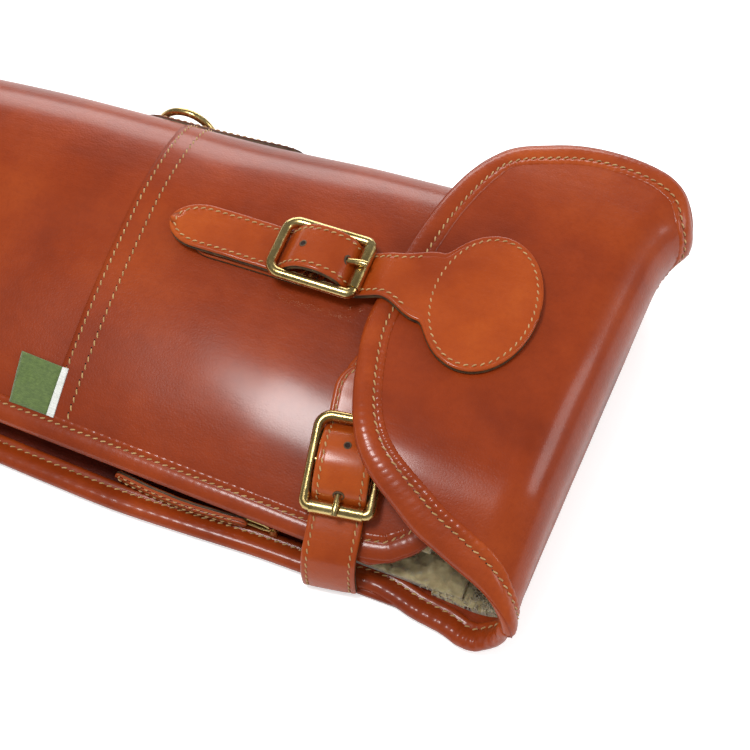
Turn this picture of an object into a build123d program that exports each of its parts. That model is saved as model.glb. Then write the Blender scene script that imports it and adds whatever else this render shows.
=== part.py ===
from build123d import *
from math import cos, radians, sin
import os

# A leather slip case lying on its back: a long, flat, fleece-lined pocket, folded along its spine,
# zipped along its front edge, and closed at the wide end by a fold-over flap with two buckled straps.
# X runs along the case towards the flap, Y towards the spine, Z up out of the front panel.
# The origin is the middle of the pocket's mouth, on the plane that the case rests on. Millimetres.

# Driving dimensions of the body
TAIL_X = -529.0  # closed end
SEAM_X = -200.0  # the mouth section's leather meets the tail section's
HEIGHT = 57.0
TAIL_HEIGHT = 30.0
RIM_Z = 21.0  # front panel's edge along the zip
TAIL_RIM_Z = 15.0
BELLY = 0.42  # height of the spine's outermost line, as a share of the body's height
TAIL_CORNER = 45.0
STATIONS = (-529.0, -430.0, -315.0, -200.0, -100.0, -30.0, 45.0)

# Layers
LEATHER = 3.0
FLEECE = 6.0
LINING = 1.5
PATCH = 2.0
GAP = 0.1  # between sewn layers
BINDING = 3.0  # radius of the rolled leather edge
BACK_BINDING = 2.0  # and of the back panel's
MOUTH_BINDING = 2.2  # and of the mouth's
FLAP_BINDING = 3.0  # width of the flap's rolled edge, seen from above

# Flap: its fold line isn't quite square to the case
SKEW = 4.1
FOLD_X = 31.0  # outer face of the end wall, at Y = 0
LOWER_BEND = 22.0
UPPER_BEND = 25.0
FLAP_TOP = 64.5
UNDER = 18.0  # how far the lower bend's sheet runs on under the case
FLAP_REACH = 125.0  # and the upper bend's over it, before the free edge is cut
HINGE_INSET = 6.0  # both fold axes, in from the end wall's face and from the base or the flap's top
FOLD_GAP = 0.3
WALL_END_Y = 100.0  # end wall's edge, next to the spine
# Section of the flap at each distance along the fold: height, and how far its top flares outwards
FLAP_SECTIONS = (
    (-113.0, 37.0, 3.0),
    (-100.0, 45.0, 1.0),
    (-85.0, 55.0, 0.0),
    (-70.0, 61.5, 0.0),
    (-50.0, FLAP_TOP, 0.0),
    (0.0, FLAP_TOP, 0.0),
    (70.0, 64.0, 1.0),
    (104.0, 61.0, 5.0),
    (130.0, 57.0, 5.0),
)

# Whole roller buckle for a 25 mm strap
BUCKLE_LENGTH = 46.0
BUCKLE_WIDTH = 35.0
WIRE = 5.0
BAR = 4.0
RUNNING = 0.1  # radial clearance of the roller and of the prong's ring on their bars
ROLLER = 6.4
ROLLER_LENGTH = 24.2
ROLLER_CORNER = 2.7
FAR_CORNER = 6.0
BAR_X = (BUCKLE_LENGTH - WIRE) / 2
BAR_Y = (BUCKLE_WIDTH - WIRE) / 2
PRONG = 3.2
PRONG_RING = 7.0
PRONG_WIDTH = 3.6
FRONT_RISE = 10.3  # front buckle's plane above the leather that it is sewn to
SIDE_RISE = 9.0  # side buckle's

# Straps
STRAP_WIDTH = 24.4
STRAP = 3.6  # two layers, stitched together
DISC = 4.0
SLOT = 4.4
CLOSURE_Y = 20.5
FRONT_BUCKLE_X = -107.5
DISC_X = -28.0
DISC_LENGTH = 52.0
DISC_WIDTH = 75.0
SIDE_BUCKLE_X = -63.0
SIDE_BUCKLE_Y = -64.0
SIDE_TILT = 22.0  # slope of the front panel beneath the side buckle
SIDE_YAW = 8.0

# Zip
ZIP_INSET = 8.0  # behind the front panel's edge
FLEECE_INSET = 14.0
ZIP_START_X = -80.0
ZIP_END_X = -440.0
ZIP_Z = 10.5
ZIP_END_Z = 8.1
TAPE = 0.8
CHAIN = 2.4
CHAIN_WIDTH = 2.0  # each side's teeth
CHAIN_GAP = 1.8
SLIDER_LENGTH = 12.0
SLIDER_HEIGHT = 9.0
SLIDER_PLATE = 1.4
SLIDER_CLEAR = 0.25
BAIL_PIN = 1.8
PIN_LIFT = 2.1  # the pin's middle above the slider's plate
EAR_OFFSET = 3.1  # the slider's two ears hold the pin
EAR_LENGTH = 3.4
EAR_WIDTH = 1.2
LINK_LENGTH = 15.0
LINK_HALF_WIDTH = 2.6
LINK_WIRE = 1.7
PULLER_LENGTH = 64.0
PULLER_WIDTH = 6.6  # it clears both rolled edges as it swings out
PULLER_THICKNESS = 2.8
PULLER_FOLD = 4.4  # thickness where the leather folds round the link

# Carrying ring
RING_X = -214.0
RING_WIDTH = 36.0
RING_DEPTH = 24.0
RING_WIRE = 4.0
RING_Z = 12.0
RING_LEAN = 9.0
RING_CORNER = 4.0
RING_TAB_X = -193.0
RING_TAB_Z = 19.0
RING_TAB_LENGTH = 92.0
RING_TAB_WIDTH = 24.0
RING_LOOP_WIDTH = 19.0

# Crown of the front panel: share of the way from zip to spine, share of the rise above the zip
CROWN = ((0.09, 0.27), (0.19, 0.51), (0.34, 0.76), (0.50, 0.91), (0.67, 1.0), (0.84, 0.90), (0.95, 0.62))


def spine_y(x):
    return 105.4 + 0.046 * x


def front_y(x):
    return -101.0 - 0.049 * x


def back_y(x):
    return -106.6 - 0.025 * x


def height(x):
    share = max(0.0, (x + 60) / (TAIL_X + 60))
    return HEIGHT - (HEIGHT - TAIL_HEIGHT) * share**2


def rim_z(x):
    share = min(0.0, x) / TAIL_X
    return RIM_Z - (RIM_Z - TAIL_RIM_Z) * share**2


def crown_z(x, y):
    """Height of the front panel's outside at a place."""
    share = (y - front_y(x)) / (spine_y(x) - front_y(x))
    knots = ((0.0, 0.0), *CROWN)
    for (u0, v0), (u1, v1) in zip(knots, knots[1:]):
        if share <= u1:
            rise = v0 + (v1 - v0) * (share - u0) / (u1 - u0)
            return rim_z(x) + rise * (height(x) - rim_z(x))
    return BELLY * height(x)


def body_solid(inset, reach=0.0):
    """The closed body, inset on every side but the zip's, where it reaches past the rims."""
    with BuildPart() as body:
        for x in STATIONS:
            front, back, spine = front_y(x) - reach, back_y(x) - reach, spine_y(x) - inset
            rim, top = rim_z(x), height(x)
            belly = BELLY * top
            radius = belly - inset
            across = spine_y(x) - front_y(x)
            crown = [(front_y(x) + u * across, rim + v * (top - rim) - inset) for u, v in CROWN]
            edge = max(rim - inset, inset + 3)  # the thin closed end keeps its lining's layers apart
            crown = [(y, max(z, edge)) for y, z in crown]
            with BuildSketch(Plane.YZ.offset(x)):
                with BuildLine():
                    Line((back, inset), (spine - radius, inset))
                    ThreePointArc(
                        (spine - radius, inset),
                        (spine - (1 - sin(radians(45))) * radius, belly - cos(radians(45)) * radius),
                        (spine, belly),
                    )
                    Spline((spine, belly), *reversed(crown), (front, edge))
                    Line((front, edge), (back, inset))
                make_face()
        loft(ruled=True)
    return body.part


def plan_solid(inset):
    """A tall block whose plan rounds off the closed end's two corners."""
    end, spine, back = TAIL_X + inset, spine_y(TAIL_X) - inset, back_y(TAIL_X)
    near = end + TAIL_CORNER
    bulge = (1 - sin(radians(45))) * TAIL_CORNER
    with BuildPart() as plan:
        with BuildSketch(Plane.XY.offset(-20)):
            with BuildLine():
                Line((end, back + TAIL_CORNER), (end, spine - TAIL_CORNER))
                ThreePointArc((end, spine - TAIL_CORNER), (end + bulge, spine - bulge), (near, spine))
                Polyline((near, spine), (near, 160), (120, 160), (120, -160), (near, -160), (near, back))
                ThreePointArc((near, back), (end + bulge, back + bulge), (end, back + TAIL_CORNER))
            make_face()
        extrude(amount=140)
    return plan.part


def block(x0, x1, y0, y1, z0, z1):
    with BuildPart() as made:
        with BuildSketch(Plane.XY.offset(z0)):
            with Locations(((x0 + x1) / 2, (y0 + y1) / 2)):
                Rectangle(x1 - x0, y1 - y0)
        extrude(amount=z1 - z0)
    return made.part


# The body's layers, from the outside in
OUTSIDE = body_solid(0.0) & plan_solid(0.0)
LEATHER_INSIDE = body_solid(LEATHER, reach=25.0) & plan_solid(LEATHER)
FLEECE_OUTSIDE = body_solid(LEATHER + GAP, reach=25.0) & plan_solid(LEATHER + GAP)
FLEECE_INSIDE = body_solid(LEATHER + GAP + FLEECE, reach=25.0) & plan_solid(LEATHER + GAP + FLEECE)

# ---- Fold line and flap --------------------------------------------------------------------------

# Planes across the fold line: local X points out of the end wall, local Y is up
ALONG = Vector(sin(radians(SKEW)), cos(radians(SKEW)), 0)
OUTWARD = Vector(cos(radians(SKEW)), -sin(radians(SKEW)), 0)
FOLD_PLANE = Plane(origin=(FOLD_X, 0, 0), x_dir=OUTWARD, z_dir=-ALONG)


def flap_blank(inset, thickness):
    """The flap and end wall as one bent sheet, from its lower bend to the flap's free edge."""
    with BuildPart() as blank:
        for along, top, flare in FLAP_SECTIONS:
            low = LOWER_BEND
            high = min(UPPER_BEND, top - LOWER_BEND - 2)
            with BuildSketch(FOLD_PLANE.offset(-along)):
                with BuildLine():
                    ends = []
                    for depth in (inset, inset + thickness):
                        floor, roof, wall = depth, top - depth, flare - depth
                        r_low, r_high = low - depth, high - depth
                        half = sin(radians(45))
                        Line((-low - UNDER, floor), (-low, floor))
                        ThreePointArc(
                            (-low, floor), (-low + half * r_low, low - half * r_low), (-depth, low)
                        )
                        Line((-depth, low), (wall, top - high))
                        ThreePointArc(
                            (wall, top - high),
                            (flare - high + half * r_high, top - high + half * r_high),
                            (flare - high, roof),
                        )
                        Line((flare - high, roof), (-FLAP_REACH, roof))
                        ends.append((floor, roof))
                    Line((-low - UNDER, ends[0][0]), (-low - UNDER, ends[1][0]))
                    Line((-FLAP_REACH, ends[0][1]), (-FLAP_REACH, ends[1][1]))
                make_face()
        loft(ruled=True)
    return blank.part


def fold_prism(points):
    """A prism along the fold line, across the whole flap, from a section in the fold's own plane."""
    with BuildPart() as prism:
        with BuildSketch(FOLD_PLANE.offset(-150)):
            with BuildLine():
                Polyline(*points, close=True)
            make_face()
        extrude(amount=300)
    return prism.part


# The two fold axes lie on the splits between back panel, end wall and flap
REACH = 150.0
BACK_SIDE = fold_prism(
    (
        (-REACH, -9),
        (-REACH, 20),
        (-20 - FOLD_GAP, 20),
        (9 - FOLD_GAP, -9),
    )
)
WALL_SIDE = fold_prism(
    (
        (-FLAP_TOP / 2 + FOLD_GAP, FLAP_TOP / 2),
        (9 + FOLD_GAP, -9),
        (60, -9),
        (60, FLAP_TOP + 60 - FOLD_GAP),
    )
)
FLAP_SIDE = fold_prism(
    (
        (-FLAP_TOP / 2 - FOLD_GAP, FLAP_TOP / 2),
        (60, FLAP_TOP + 60 + FOLD_GAP),
        (-REACH, FLAP_TOP + 60),
        (-REACH, 25),
        (-FLAP_TOP / 2 - 7, 25),
    )
)


# The flap's free edge in plan: a broad tongue, wider than the body at the spine side
FLAP_EDGE = (
    (46, 109),
    (18, 127),
    (-3, 128),
    (-26, 122),
    (-48, 108),
    (-65, 72),
    (-74, 17),
    (-74, -17),
    (-59, -63),
    (-30, -86),
    (-9, -95),
    (9.5, -101),
    (27, -110),
)
FLAP_MIDDLE = Vector(20, 10)


def flap_outline(inset):
    """The flap's outline, extruded, with its free edge moved inwards."""
    edge = [Vector(*place) for place in FLAP_EDGE]
    edge = [place + (FLAP_MIDDLE - place).normalized() * inset for place in edge]
    last, first = edge[-1], edge[0]
    with BuildPart() as outline:
        with BuildSketch(Plane.XY.offset(-20)):
            with BuildLine():
                Spline(*edge)
                Polyline(last, (70, last.Y - 8), (70, first.Y), first)
            make_face()
        extrude(amount=140)
    return outline.part


FLAP_LEATHER_BLANK = flap_blank(0.0, LEATHER)
FLAP_LINING_BLANK = flap_blank(LEATHER + GAP, LINING)
FLAP_EDGE_BLANK = flap_blank(-0.9, LEATHER + LINING + 1.9)
FLAP_OUTLINE = flap_outline(0.0)
FLAP_INSIDE = flap_outline(FLAP_BINDING)


def finish(part, name):
    part.label = name
    export_step(part, f"parts/{name}.step")


os.makedirs("parts", exist_ok=True)

# ---- Pocket --------------------------------------------------------------------------------------

# The front panel and the spine stop at the mouth, with the corner next to the zip rounded back.
# The back panel runs on into the end wall.
with BuildPart() as mouth_cut:
    with BuildSketch(Plane.XY.offset(LEATHER + 0.5)):
        with BuildLine():
            Spline((-4, 140), (-2, 60), (-2, -30), (-6, -62), (-17, -85), (-40, -101))
            Polyline((-40, -101), (-40, -160), (120, -160), (120, 140), (-4, 140))
        make_face()
    extrude(amount=100)
MOUTH_CUT = mouth_cut.part
BACK_END = fold_prism(
    (
        (-LOWER_BEND - 10, -5),
        (REACH, -5),
        (REACH, 120),
        (-LOWER_BEND - 10, 120),
    )
)
TAIL_SIDE = block(TAIL_X - 20, SEAM_X, -160, 160, -5, 120)
MOUTH_SIDE = block(SEAM_X, 120, -160, 160, -5, 120)

leather = (OUTSIDE - LEATHER_INSIDE) - MOUTH_CUT - BACK_END
tail_leather = leather & TAIL_SIDE
finish(tail_leather, "tail_leather")
back_bend = (FLAP_LEATHER_BLANK & BACK_SIDE) - block(-200, 120, WALL_END_Y, 160, -5, 60)
mouth_leather = (leather & MOUTH_SIDE) + back_bend
finish(mouth_leather, "mouth_leather")

with BuildPart() as zip_room:
    with BuildSketch(Plane.XY.offset(-5)):
        with BuildLine():
            Polyline(
                (TAIL_X - 20, front_y(TAIL_X - 20) + FLEECE_INSET),
                (120, front_y(120) + FLEECE_INSET),
                (120, -200),
                (TAIL_X - 20, -200),
                close=True,
            )
        make_face()
    extrude(amount=120)
fleece_end = block(-12, 120, -160, 160, -5, 120)
fleece_lining = FLEECE_OUTSIDE - FLEECE_INSIDE - zip_room.part - MOUTH_CUT - fleece_end
finish(fleece_lining, "fleece_lining")


# Rolled leather along the front panel's edge, the back panel's edge and the mouth
def rolled_edge(radius, points):
    """A rolled leather edge: a round bar along a smooth line."""
    with BuildPart() as bar:
        with BuildLine():
            path = Spline(*points)
        with BuildSketch(Plane(origin=path @ 0, z_dir=path % 0)):
            Circle(radius)
        sweep(path=path)
    return bar.part


RIM_XS = (-478, -400, -300, -200, -120, -60)


def front_rim_y(x):
    """The rolled edge stands off the panel's edge, which leans out towards the back panel's."""
    lean = (front_y(x) - back_y(x)) / rim_z(x)
    return front_y(x) - BINDING - 0.3 - LEATHER * lean


front_rim = rolled_edge(BINDING, [(x, front_rim_y(x), rim_z(x) - LEATHER / 2) for x in RIM_XS])
finish(front_rim, "front_rim_binding")
BACK_RIM_XS = (-478, -300, -120, -34)
back_path = [(x, back_y(x) - BACK_BINDING - GAP, BACK_BINDING) for x in BACK_RIM_XS]
back_rim = rolled_edge(BACK_BINDING, back_path)
finish(back_rim, "back_rim_binding")
MOUTH_RIM = ((-36, -101.5), (-14, -88), (-3, -62), (1.2, -30), (1.2, 20), (1.2, 60), (0.5, 84))
mouth_path = [(x, y, crown_z(x, max(y, -98)) - MOUTH_BINDING) for x, y in MOUTH_RIM]
mouth_rim = rolled_edge(MOUTH_BINDING, mouth_path)
finish(mouth_rim, "mouth_binding")

# Rolled leather round the closed end, where both panels are sewn together
TAIL_BINDING_Z = 8.0
end, spine, back = TAIL_X - BINDING - 0.3, spine_y(TAIL_X) - 2, back_y(TAIL_X) - BINDING
near = end + TAIL_CORNER
bulge = (1 - sin(radians(45))) * TAIL_CORNER
with BuildPart() as tail_binding:
    with BuildLine(Plane.XY.offset(TAIL_BINDING_Z)) as tail_path:
        Line((end, spine - TAIL_CORNER), (end, back + TAIL_CORNER))
        ThreePointArc((end, back + TAIL_CORNER), (end + bulge, back + bulge), (near, back))
    with BuildSketch(Plane(origin=(end, spine - TAIL_CORNER, TAIL_BINDING_Z), z_dir=(0, -1, 0))):
        Circle(BINDING)
    sweep(path=tail_path.wire())
finish(tail_binding.part, "tail_binding")

# ---- End wall and flap ---------------------------------------------------------------------------

# The wall's edges next to its fold axes are cut back, so that each fold can open flat
NOTCH = fold_prism(
    (
        (-HINGE_INSET, FLAP_TOP - HINGE_INSET),
        (9, FLAP_TOP - HINGE_INSET),
        (9, 90),
        (-HINGE_INSET, 90),
    )
)
WALL_TRIM = block(-60, 90, WALL_END_Y, 160, -5, FLAP_TOP - UPPER_BEND)

end_wall_leather = (FLAP_LEATHER_BLANK & WALL_SIDE & FLAP_INSIDE) - NOTCH - WALL_TRIM
finish(end_wall_leather, "end_wall_leather")
end_wall_lining = (FLAP_LINING_BLANK & WALL_SIDE & FLAP_INSIDE) - NOTCH - WALL_TRIM
finish(end_wall_lining, "end_wall_lining")
flap_leather = (FLAP_LEATHER_BLANK & FLAP_SIDE & FLAP_INSIDE) - NOTCH
finish(flap_leather, "flap_leather")
flap_lining = (FLAP_LINING_BLANK & FLAP_SIDE & FLAP_INSIDE) - NOTCH
finish(flap_lining, "flap_lining")
FLAP_RING = FLAP_OUTLINE - flap_outline(FLAP_BINDING - GAP)
flap_binding = (FLAP_EDGE_BLANK & FLAP_SIDE & FLAP_RING) - NOTCH
finish(flap_binding, "flap_binding")
end_wall_binding = (FLAP_EDGE_BLANK & WALL_SIDE & FLAP_RING & block(-60, 60, -160, 0, 1, 120)) - NOTCH
finish(end_wall_binding, "end_wall_binding")


def on_leather(outline, low, high):
    """A layer that follows the outside of the front panel, cut to an outline in plan."""
    layer = body_solid(-high) - body_solid(-low)
    return layer & outline & block(TAIL_X, 120, -95, 120, 20, 120)


# ---- Buckles -------------------------------------------------------------------------------------

# In a buckle's own plane X points along the strap, from the centre bar to the roller, and Z away from
# the leather. The section plane holds the strap's path: its X is the buckle's X, its Y the buckle's Z.
tilt, yaw = radians(SIDE_TILT), radians(SIDE_YAW)
FRONT_PLANE = Plane(
    origin=(FRONT_BUCKLE_X, CLOSURE_Y, crown_z(FRONT_BUCKLE_X, CLOSURE_Y) + FRONT_RISE),
    x_dir=(1, 0, 0),
    z_dir=(0, 0, 1),
)
SIDE_NORMAL = Vector(sin(yaw) * sin(tilt), -cos(yaw) * sin(tilt), cos(tilt))
SIDE_DOWN = Vector(sin(yaw) * cos(tilt), -cos(yaw) * cos(tilt), -sin(tilt))
SIDE_BASE = Vector(SIDE_BUCKLE_X, SIDE_BUCKLE_Y, crown_z(SIDE_BUCKLE_X, SIDE_BUCKLE_Y))
SIDE_PLANE = Plane(
    origin=SIDE_BASE + SIDE_NORMAL * SIDE_RISE,
    x_dir=SIDE_DOWN,
    z_dir=SIDE_NORMAL,
)


def section_plane(buckle_plane):
    return Plane(origin=buckle_plane.origin, x_dir=buckle_plane.x_dir, z_dir=-buckle_plane.y_dir)


def buckle_frame(plane):
    """Rectangular frame in round wire, with thinner bars at its centre and inside the roller."""
    side = section_plane(plane)
    with BuildPart() as frame:
        with BuildLine(plane):
            path = FilletPolyline(
                (BAR_X - ROLLER_CORNER, BAR_Y),
                (-BAR_X, BAR_Y),
                (-BAR_X, -BAR_Y),
                (BAR_X - ROLLER_CORNER, -BAR_Y),
                radius=FAR_CORNER,
            )
        with BuildSketch(Plane(origin=path @ 0, z_dir=path % 0)):
            Circle(WIRE / 2)
        sweep(path=path)
        for way in (1, -1):
            with BuildLine(plane):
                corner = ThreePointArc(
                    (BAR_X - ROLLER_CORNER, way * BAR_Y),
                    (BAR_X - 0.293 * ROLLER_CORNER, way * (BAR_Y - 0.293 * ROLLER_CORNER)),
                    (BAR_X, way * (BAR_Y - ROLLER_CORNER)),
                )
            with BuildSketch(Plane(origin=corner @ 0, z_dir=corner % 0)):
                Circle(WIRE / 2)
            sweep(path=corner)
        with BuildSketch(side):
            with Locations((0, 0), (BAR_X, 0)):
                Circle(BAR / 2)
        extrude(amount=BAR_Y, both=True)
    return frame.part


def buckle_roller(plane):
    with BuildPart() as roller:
        with BuildSketch(section_plane(plane)):
            with Locations((BAR_X, 0)):
                Circle(ROLLER / 2)
                Circle(BAR / 2 + RUNNING, mode=Mode.SUBTRACT)
        extrude(amount=ROLLER_LENGTH / 2, both=True)
    return roller.part


def buckle_prong(plane):
    """A ring on the centre bar and a tapering pin that rests on the roller."""
    side = section_plane(plane)
    rest = ROLLER / 2 + PRONG / 2 + RUNNING
    with BuildPart() as prong:
        with BuildLine(side):
            path = Spline(
                (2.6, 0.6), (10.0, 1.8), (16.0, 3.7), (BAR_X + 0.8, rest), (BAR_X + 2.6, rest - 0.1)
            )
        with BuildSketch(Plane(origin=path @ 0, z_dir=path % 0)):
            Circle(PRONG / 2)
        sweep(path=path)
        with BuildSketch(side):
            Circle(PRONG_RING / 2)
        extrude(amount=PRONG_WIDTH / 2, both=True)
        with BuildSketch(side):
            Circle(BAR / 2 + RUNNING)
        extrude(amount=PRONG_WIDTH, both=True, mode=Mode.SUBTRACT)
    return prong.part


def chape_loops(plane, rise):
    """The folded leather either side of the prong that holds the centre bar."""
    loop_width = 8.5
    loop_offset = PRONG_WIDTH / 2 + 0.8 + loop_width / 2
    neck, foot, base = -PRONG_RING / 2, 1 + PATCH - rise, 0.6 - rise
    with BuildPart() as loops:
        for way in (1, -1):
            with BuildSketch(section_plane(plane).offset(way * loop_offset)):
                Circle(PRONG_RING / 2)
                with BuildLine():
                    Polyline((0, neck), (-3.3, 0), (-7.5, foot), (-1, foot), close=True)
                make_face()
                with BuildLine():
                    Polyline((-1, foot), (-7.5, foot), (-9, base), (0, base), close=True)
                make_face()
                Circle(BAR / 2 + RUNNING, mode=Mode.SUBTRACT)
            extrude(amount=loop_width / 2, both=True)
    return loops.part


def ribbon(plane, points, width, thickness):
    """A strap: a smooth path in a buckle's section plane, with a thickness, across a width."""
    with BuildPart() as strap:
        with BuildSketch(section_plane(plane)):
            with BuildLine():
                centre = Spline(*points)
            trace(centre, line_width=thickness)
        extrude(amount=width / 2, both=True)
    return strap.part


# A strap's way through a buckle: under the roller, over the centre bar, under the far bar
THROUGH = (
    (BAR_X, -5.35),
    (17.3, -4.3),
    (14.8, -0.9),
    (12.0, 2.8),
    (6.0, 5.4),
    (0.0, 6.1),
    (-7.0, 4.8),
    (-12.3, 1.2),
    (-15.0, -2.4),
    (-17.8, -4.8),
    (-22.5, -5.3),
)


def strap_slot(plane):
    """The hole that the prong passes through, as long as its slant needs."""
    with BuildPart() as slot:
        with BuildSketch(plane.offset(-8)):
            with Locations((10.2, 0)):
                SlotOverall(16.5, SLOT)
        extrude(amount=18)
    return slot.part


# Front buckle, on a long leather tab beneath the strap's end
finish(buckle_frame(FRONT_PLANE), "front_buckle_frame")
finish(buckle_roller(FRONT_PLANE), "front_buckle_roller")
finish(buckle_prong(FRONT_PLANE), "front_buckle_prong")
TAB_X = -137.0
TAB_LENGTH = 70.0
with BuildPart() as front_tab_outline:
    with BuildSketch(Plane.XY.offset(20)):
        with Locations((TAB_X, CLOSURE_Y)):
            SlotOverall(TAB_LENGTH, STRAP_WIDTH - 1)
    extrude(amount=80)
front_chape = on_leather(front_tab_outline.part, GAP, PATCH) + chape_loops(FRONT_PLANE, FRONT_RISE)
front_chape -= body_solid(-GAP)
finish(front_chape, "front_buckle_tab")

# Side buckle, on a round patch that the flap covers
finish(buckle_frame(SIDE_PLANE), "side_buckle_frame")
finish(buckle_roller(SIDE_PLANE), "side_buckle_roller")
finish(buckle_prong(SIDE_PLANE), "side_buckle_prong")
PATCH_X, PATCH_Y, PATCH_RADIUS = -56.0, -26.0, 22.0
TONGUE_MIDDLE = ((PATCH_X + SIDE_BUCKLE_X) / 2, (PATCH_Y + SIDE_BUCKLE_Y) / 2)
TONGUE_LENGTH = 58.0
with BuildPart() as side_patch_outline:
    with BuildSketch(Plane.XY.offset(20)):
        with Locations((PATCH_X, PATCH_Y)):
            Circle(PATCH_RADIUS)
        with Locations(Location(TONGUE_MIDDLE, SIDE_YAW + 90)):
            SlotOverall(TONGUE_LENGTH, STRAP_WIDTH - 1)
    extrude(amount=80)
side_chape = on_leather(side_patch_outline.part, GAP, PATCH) + chape_loops(SIDE_PLANE, SIDE_RISE)
side_chape -= body_solid(-GAP)
finish(side_chape, "side_buckle_tab")

# ---- Straps --------------------------------------------------------------------------------------

DISC_Z = FLAP_TOP + 0.4 + STRAP / 2
front_z = FRONT_PLANE.origin.Z


def closure_point(x, rise):
    """A point of the strap's path over the flap, in the front buckle's section plane."""
    return (x - FRONT_BUCKLE_X, DISC_Z + rise - front_z)


closure_path = (
    closure_point(DISC_X - 10, 0),
    closure_point(-46, 0),
    closure_point(-54, 0),
    closure_point(-62, 0.1),
    closure_point(-69, 0.7),
    closure_point(-75, 0.5),
    closure_point(-79.5, -2.4),
    *THROUGH,
    (-33, -5.4),
    (-45, -5.6),
    (-60, -5.8),
    (-76, -6.0),
)
with BuildPart() as closure_strap:
    add(ribbon(FRONT_PLANE, closure_path, STRAP_WIDTH, STRAP))
    with BuildSketch(Plane.XY.offset(DISC_Z)):
        with Locations((DISC_X, CLOSURE_Y)):
            Ellipse(DISC_LENGTH / 2, DISC_WIDTH / 2)
    extrude(amount=DISC / 2, both=True)
    add(strap_slot(FRONT_PLANE), mode=Mode.SUBTRACT)
finish(closure_strap.part, "closure_strap")

side_path = (
    (61.0, -22.0),
    (59.7, -19.0),
    (54.4, -13.9),
    (46.9, -8.2),
    (42.0, -5.6),
    (33.0, -5.4),
    (26.0, -5.4),
    *THROUGH,
    (-31.0, -6.5),
    (-40.0, -7.5),
    (-46.0, -8.4),
)
with BuildPart() as side_strap:
    add(ribbon(SIDE_PLANE, side_path, STRAP_WIDTH, STRAP))
    add(strap_slot(SIDE_PLANE), mode=Mode.SUBTRACT)
finish(side_strap.part, "side_strap")

# ---- Zip -----------------------------------------------------------------------------------------


def zip_point(x, share):
    return Vector(x, front_y(x) + ZIP_INSET, ZIP_Z + (ZIP_END_Z - ZIP_Z) * share)


zip_start = zip_point(ZIP_START_X, 0)
zip_end = zip_point(ZIP_END_X, 1)
ZIP_LENGTH = (zip_end - zip_start).length
# Local X runs along the zip towards the closed end, local Y down, local Z out of the case
ZIP_ACROSS = (zip_end - zip_start).normalized()
ZIP_UP = (Vector(0, 0, 1) - ZIP_ACROSS * ZIP_ACROSS.Z).normalized()
ZIP_PLANE = Plane(origin=zip_start, x_dir=ZIP_ACROSS, z_dir=ZIP_UP.cross(ZIP_ACROSS))
ZIP_OUT = ZIP_PLANE.z_dir
chain_low, chain_high = CHAIN_GAP / 2, CHAIN_GAP / 2 + CHAIN_WIDTH


def zip_strip(corners, thickness):
    with BuildPart() as strip:
        with BuildSketch(ZIP_PLANE):
            with BuildLine():
                Polyline(*corners, close=True)
            make_face()
        extrude(amount=thickness / 2, both=True)
    return strip.part


# Each tape narrows towards the closed end: its reach from the zip's middle at both ends
for name, side, near, far in (("upper", -1, 9.3, 5.8), ("lower", 1, 7.2, 4.9)):
    tape = zip_strip(
        (
            (-6, side * (chain_high + 0.02)),
            (ZIP_LENGTH + 8, side * (chain_high + 0.02)),
            (ZIP_LENGTH + 8, side * far),
            (-6, side * near),
        ),
        TAPE,
    )
    finish(tape, f"zip_tape_{name}")
    chain = zip_strip(
        (
            (0, side * chain_low),
            (ZIP_LENGTH, side * chain_low),
            (ZIP_LENGTH, side * chain_high),
            (0, side * chain_high),
        ),
        CHAIN,
    )
    finish(chain, f"zip_teeth_{name}")

with BuildPart() as zip_stops:
    with BuildSketch(ZIP_PLANE):
        with Locations((-2.2, chain_low + 1), (-2.2, -chain_low - 1), (ZIP_LENGTH + 2.2, 0)):
            RectangleRounded(3.6, 1.9, 0.6)
    extrude(amount=CHAIN / 2, both=True)
finish(zip_stops.part, "zip_stops")

SLIDER_AT = SLIDER_LENGTH / 2 + 2
plate_low = CHAIN / 2 + SLIDER_CLEAR
plate_high = plate_low + SLIDER_PLATE
pin_out = plate_high + PIN_LIFT
slider_plane = Plane(origin=zip_start + ZIP_ACROSS * SLIDER_AT, x_dir=ZIP_ACROSS, z_dir=ZIP_OUT)
# The plane that holds the pin's middle, and the section plane of the parts that turn on it
pull_plane = Plane(origin=slider_plane.origin + ZIP_OUT * pin_out, x_dir=ZIP_ACROSS, z_dir=ZIP_OUT)
pull_section = Plane(origin=pull_plane.origin, x_dir=ZIP_ACROSS, z_dir=pull_plane.y_dir)
with BuildPart() as zip_slider:
    for low in (plate_low, -plate_high):
        with BuildSketch(slider_plane.offset(low)):
            RectangleRounded(SLIDER_LENGTH, SLIDER_HEIGHT, 2.4)
        extrude(amount=SLIDER_PLATE)
    with BuildSketch(slider_plane.offset(-plate_high)):
        SlotOverall(SLIDER_LENGTH - 3, CHAIN_GAP - 0.8)
    extrude(amount=2 * plate_high)
    with BuildSketch(slider_plane.offset(plate_high - 0.2)):
        with Locations((0, EAR_OFFSET), (0, -EAR_OFFSET)):
            Rectangle(EAR_LENGTH, EAR_WIDTH)
    extrude(amount=PIN_LIFT + BAIL_PIN / 2 + 0.6)
    with BuildSketch(pull_section):
        Circle(BAIL_PIN / 2)
    extrude(amount=EAR_OFFSET + 0.2, both=True)
finish(zip_slider.part, "zip_slider")

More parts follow.
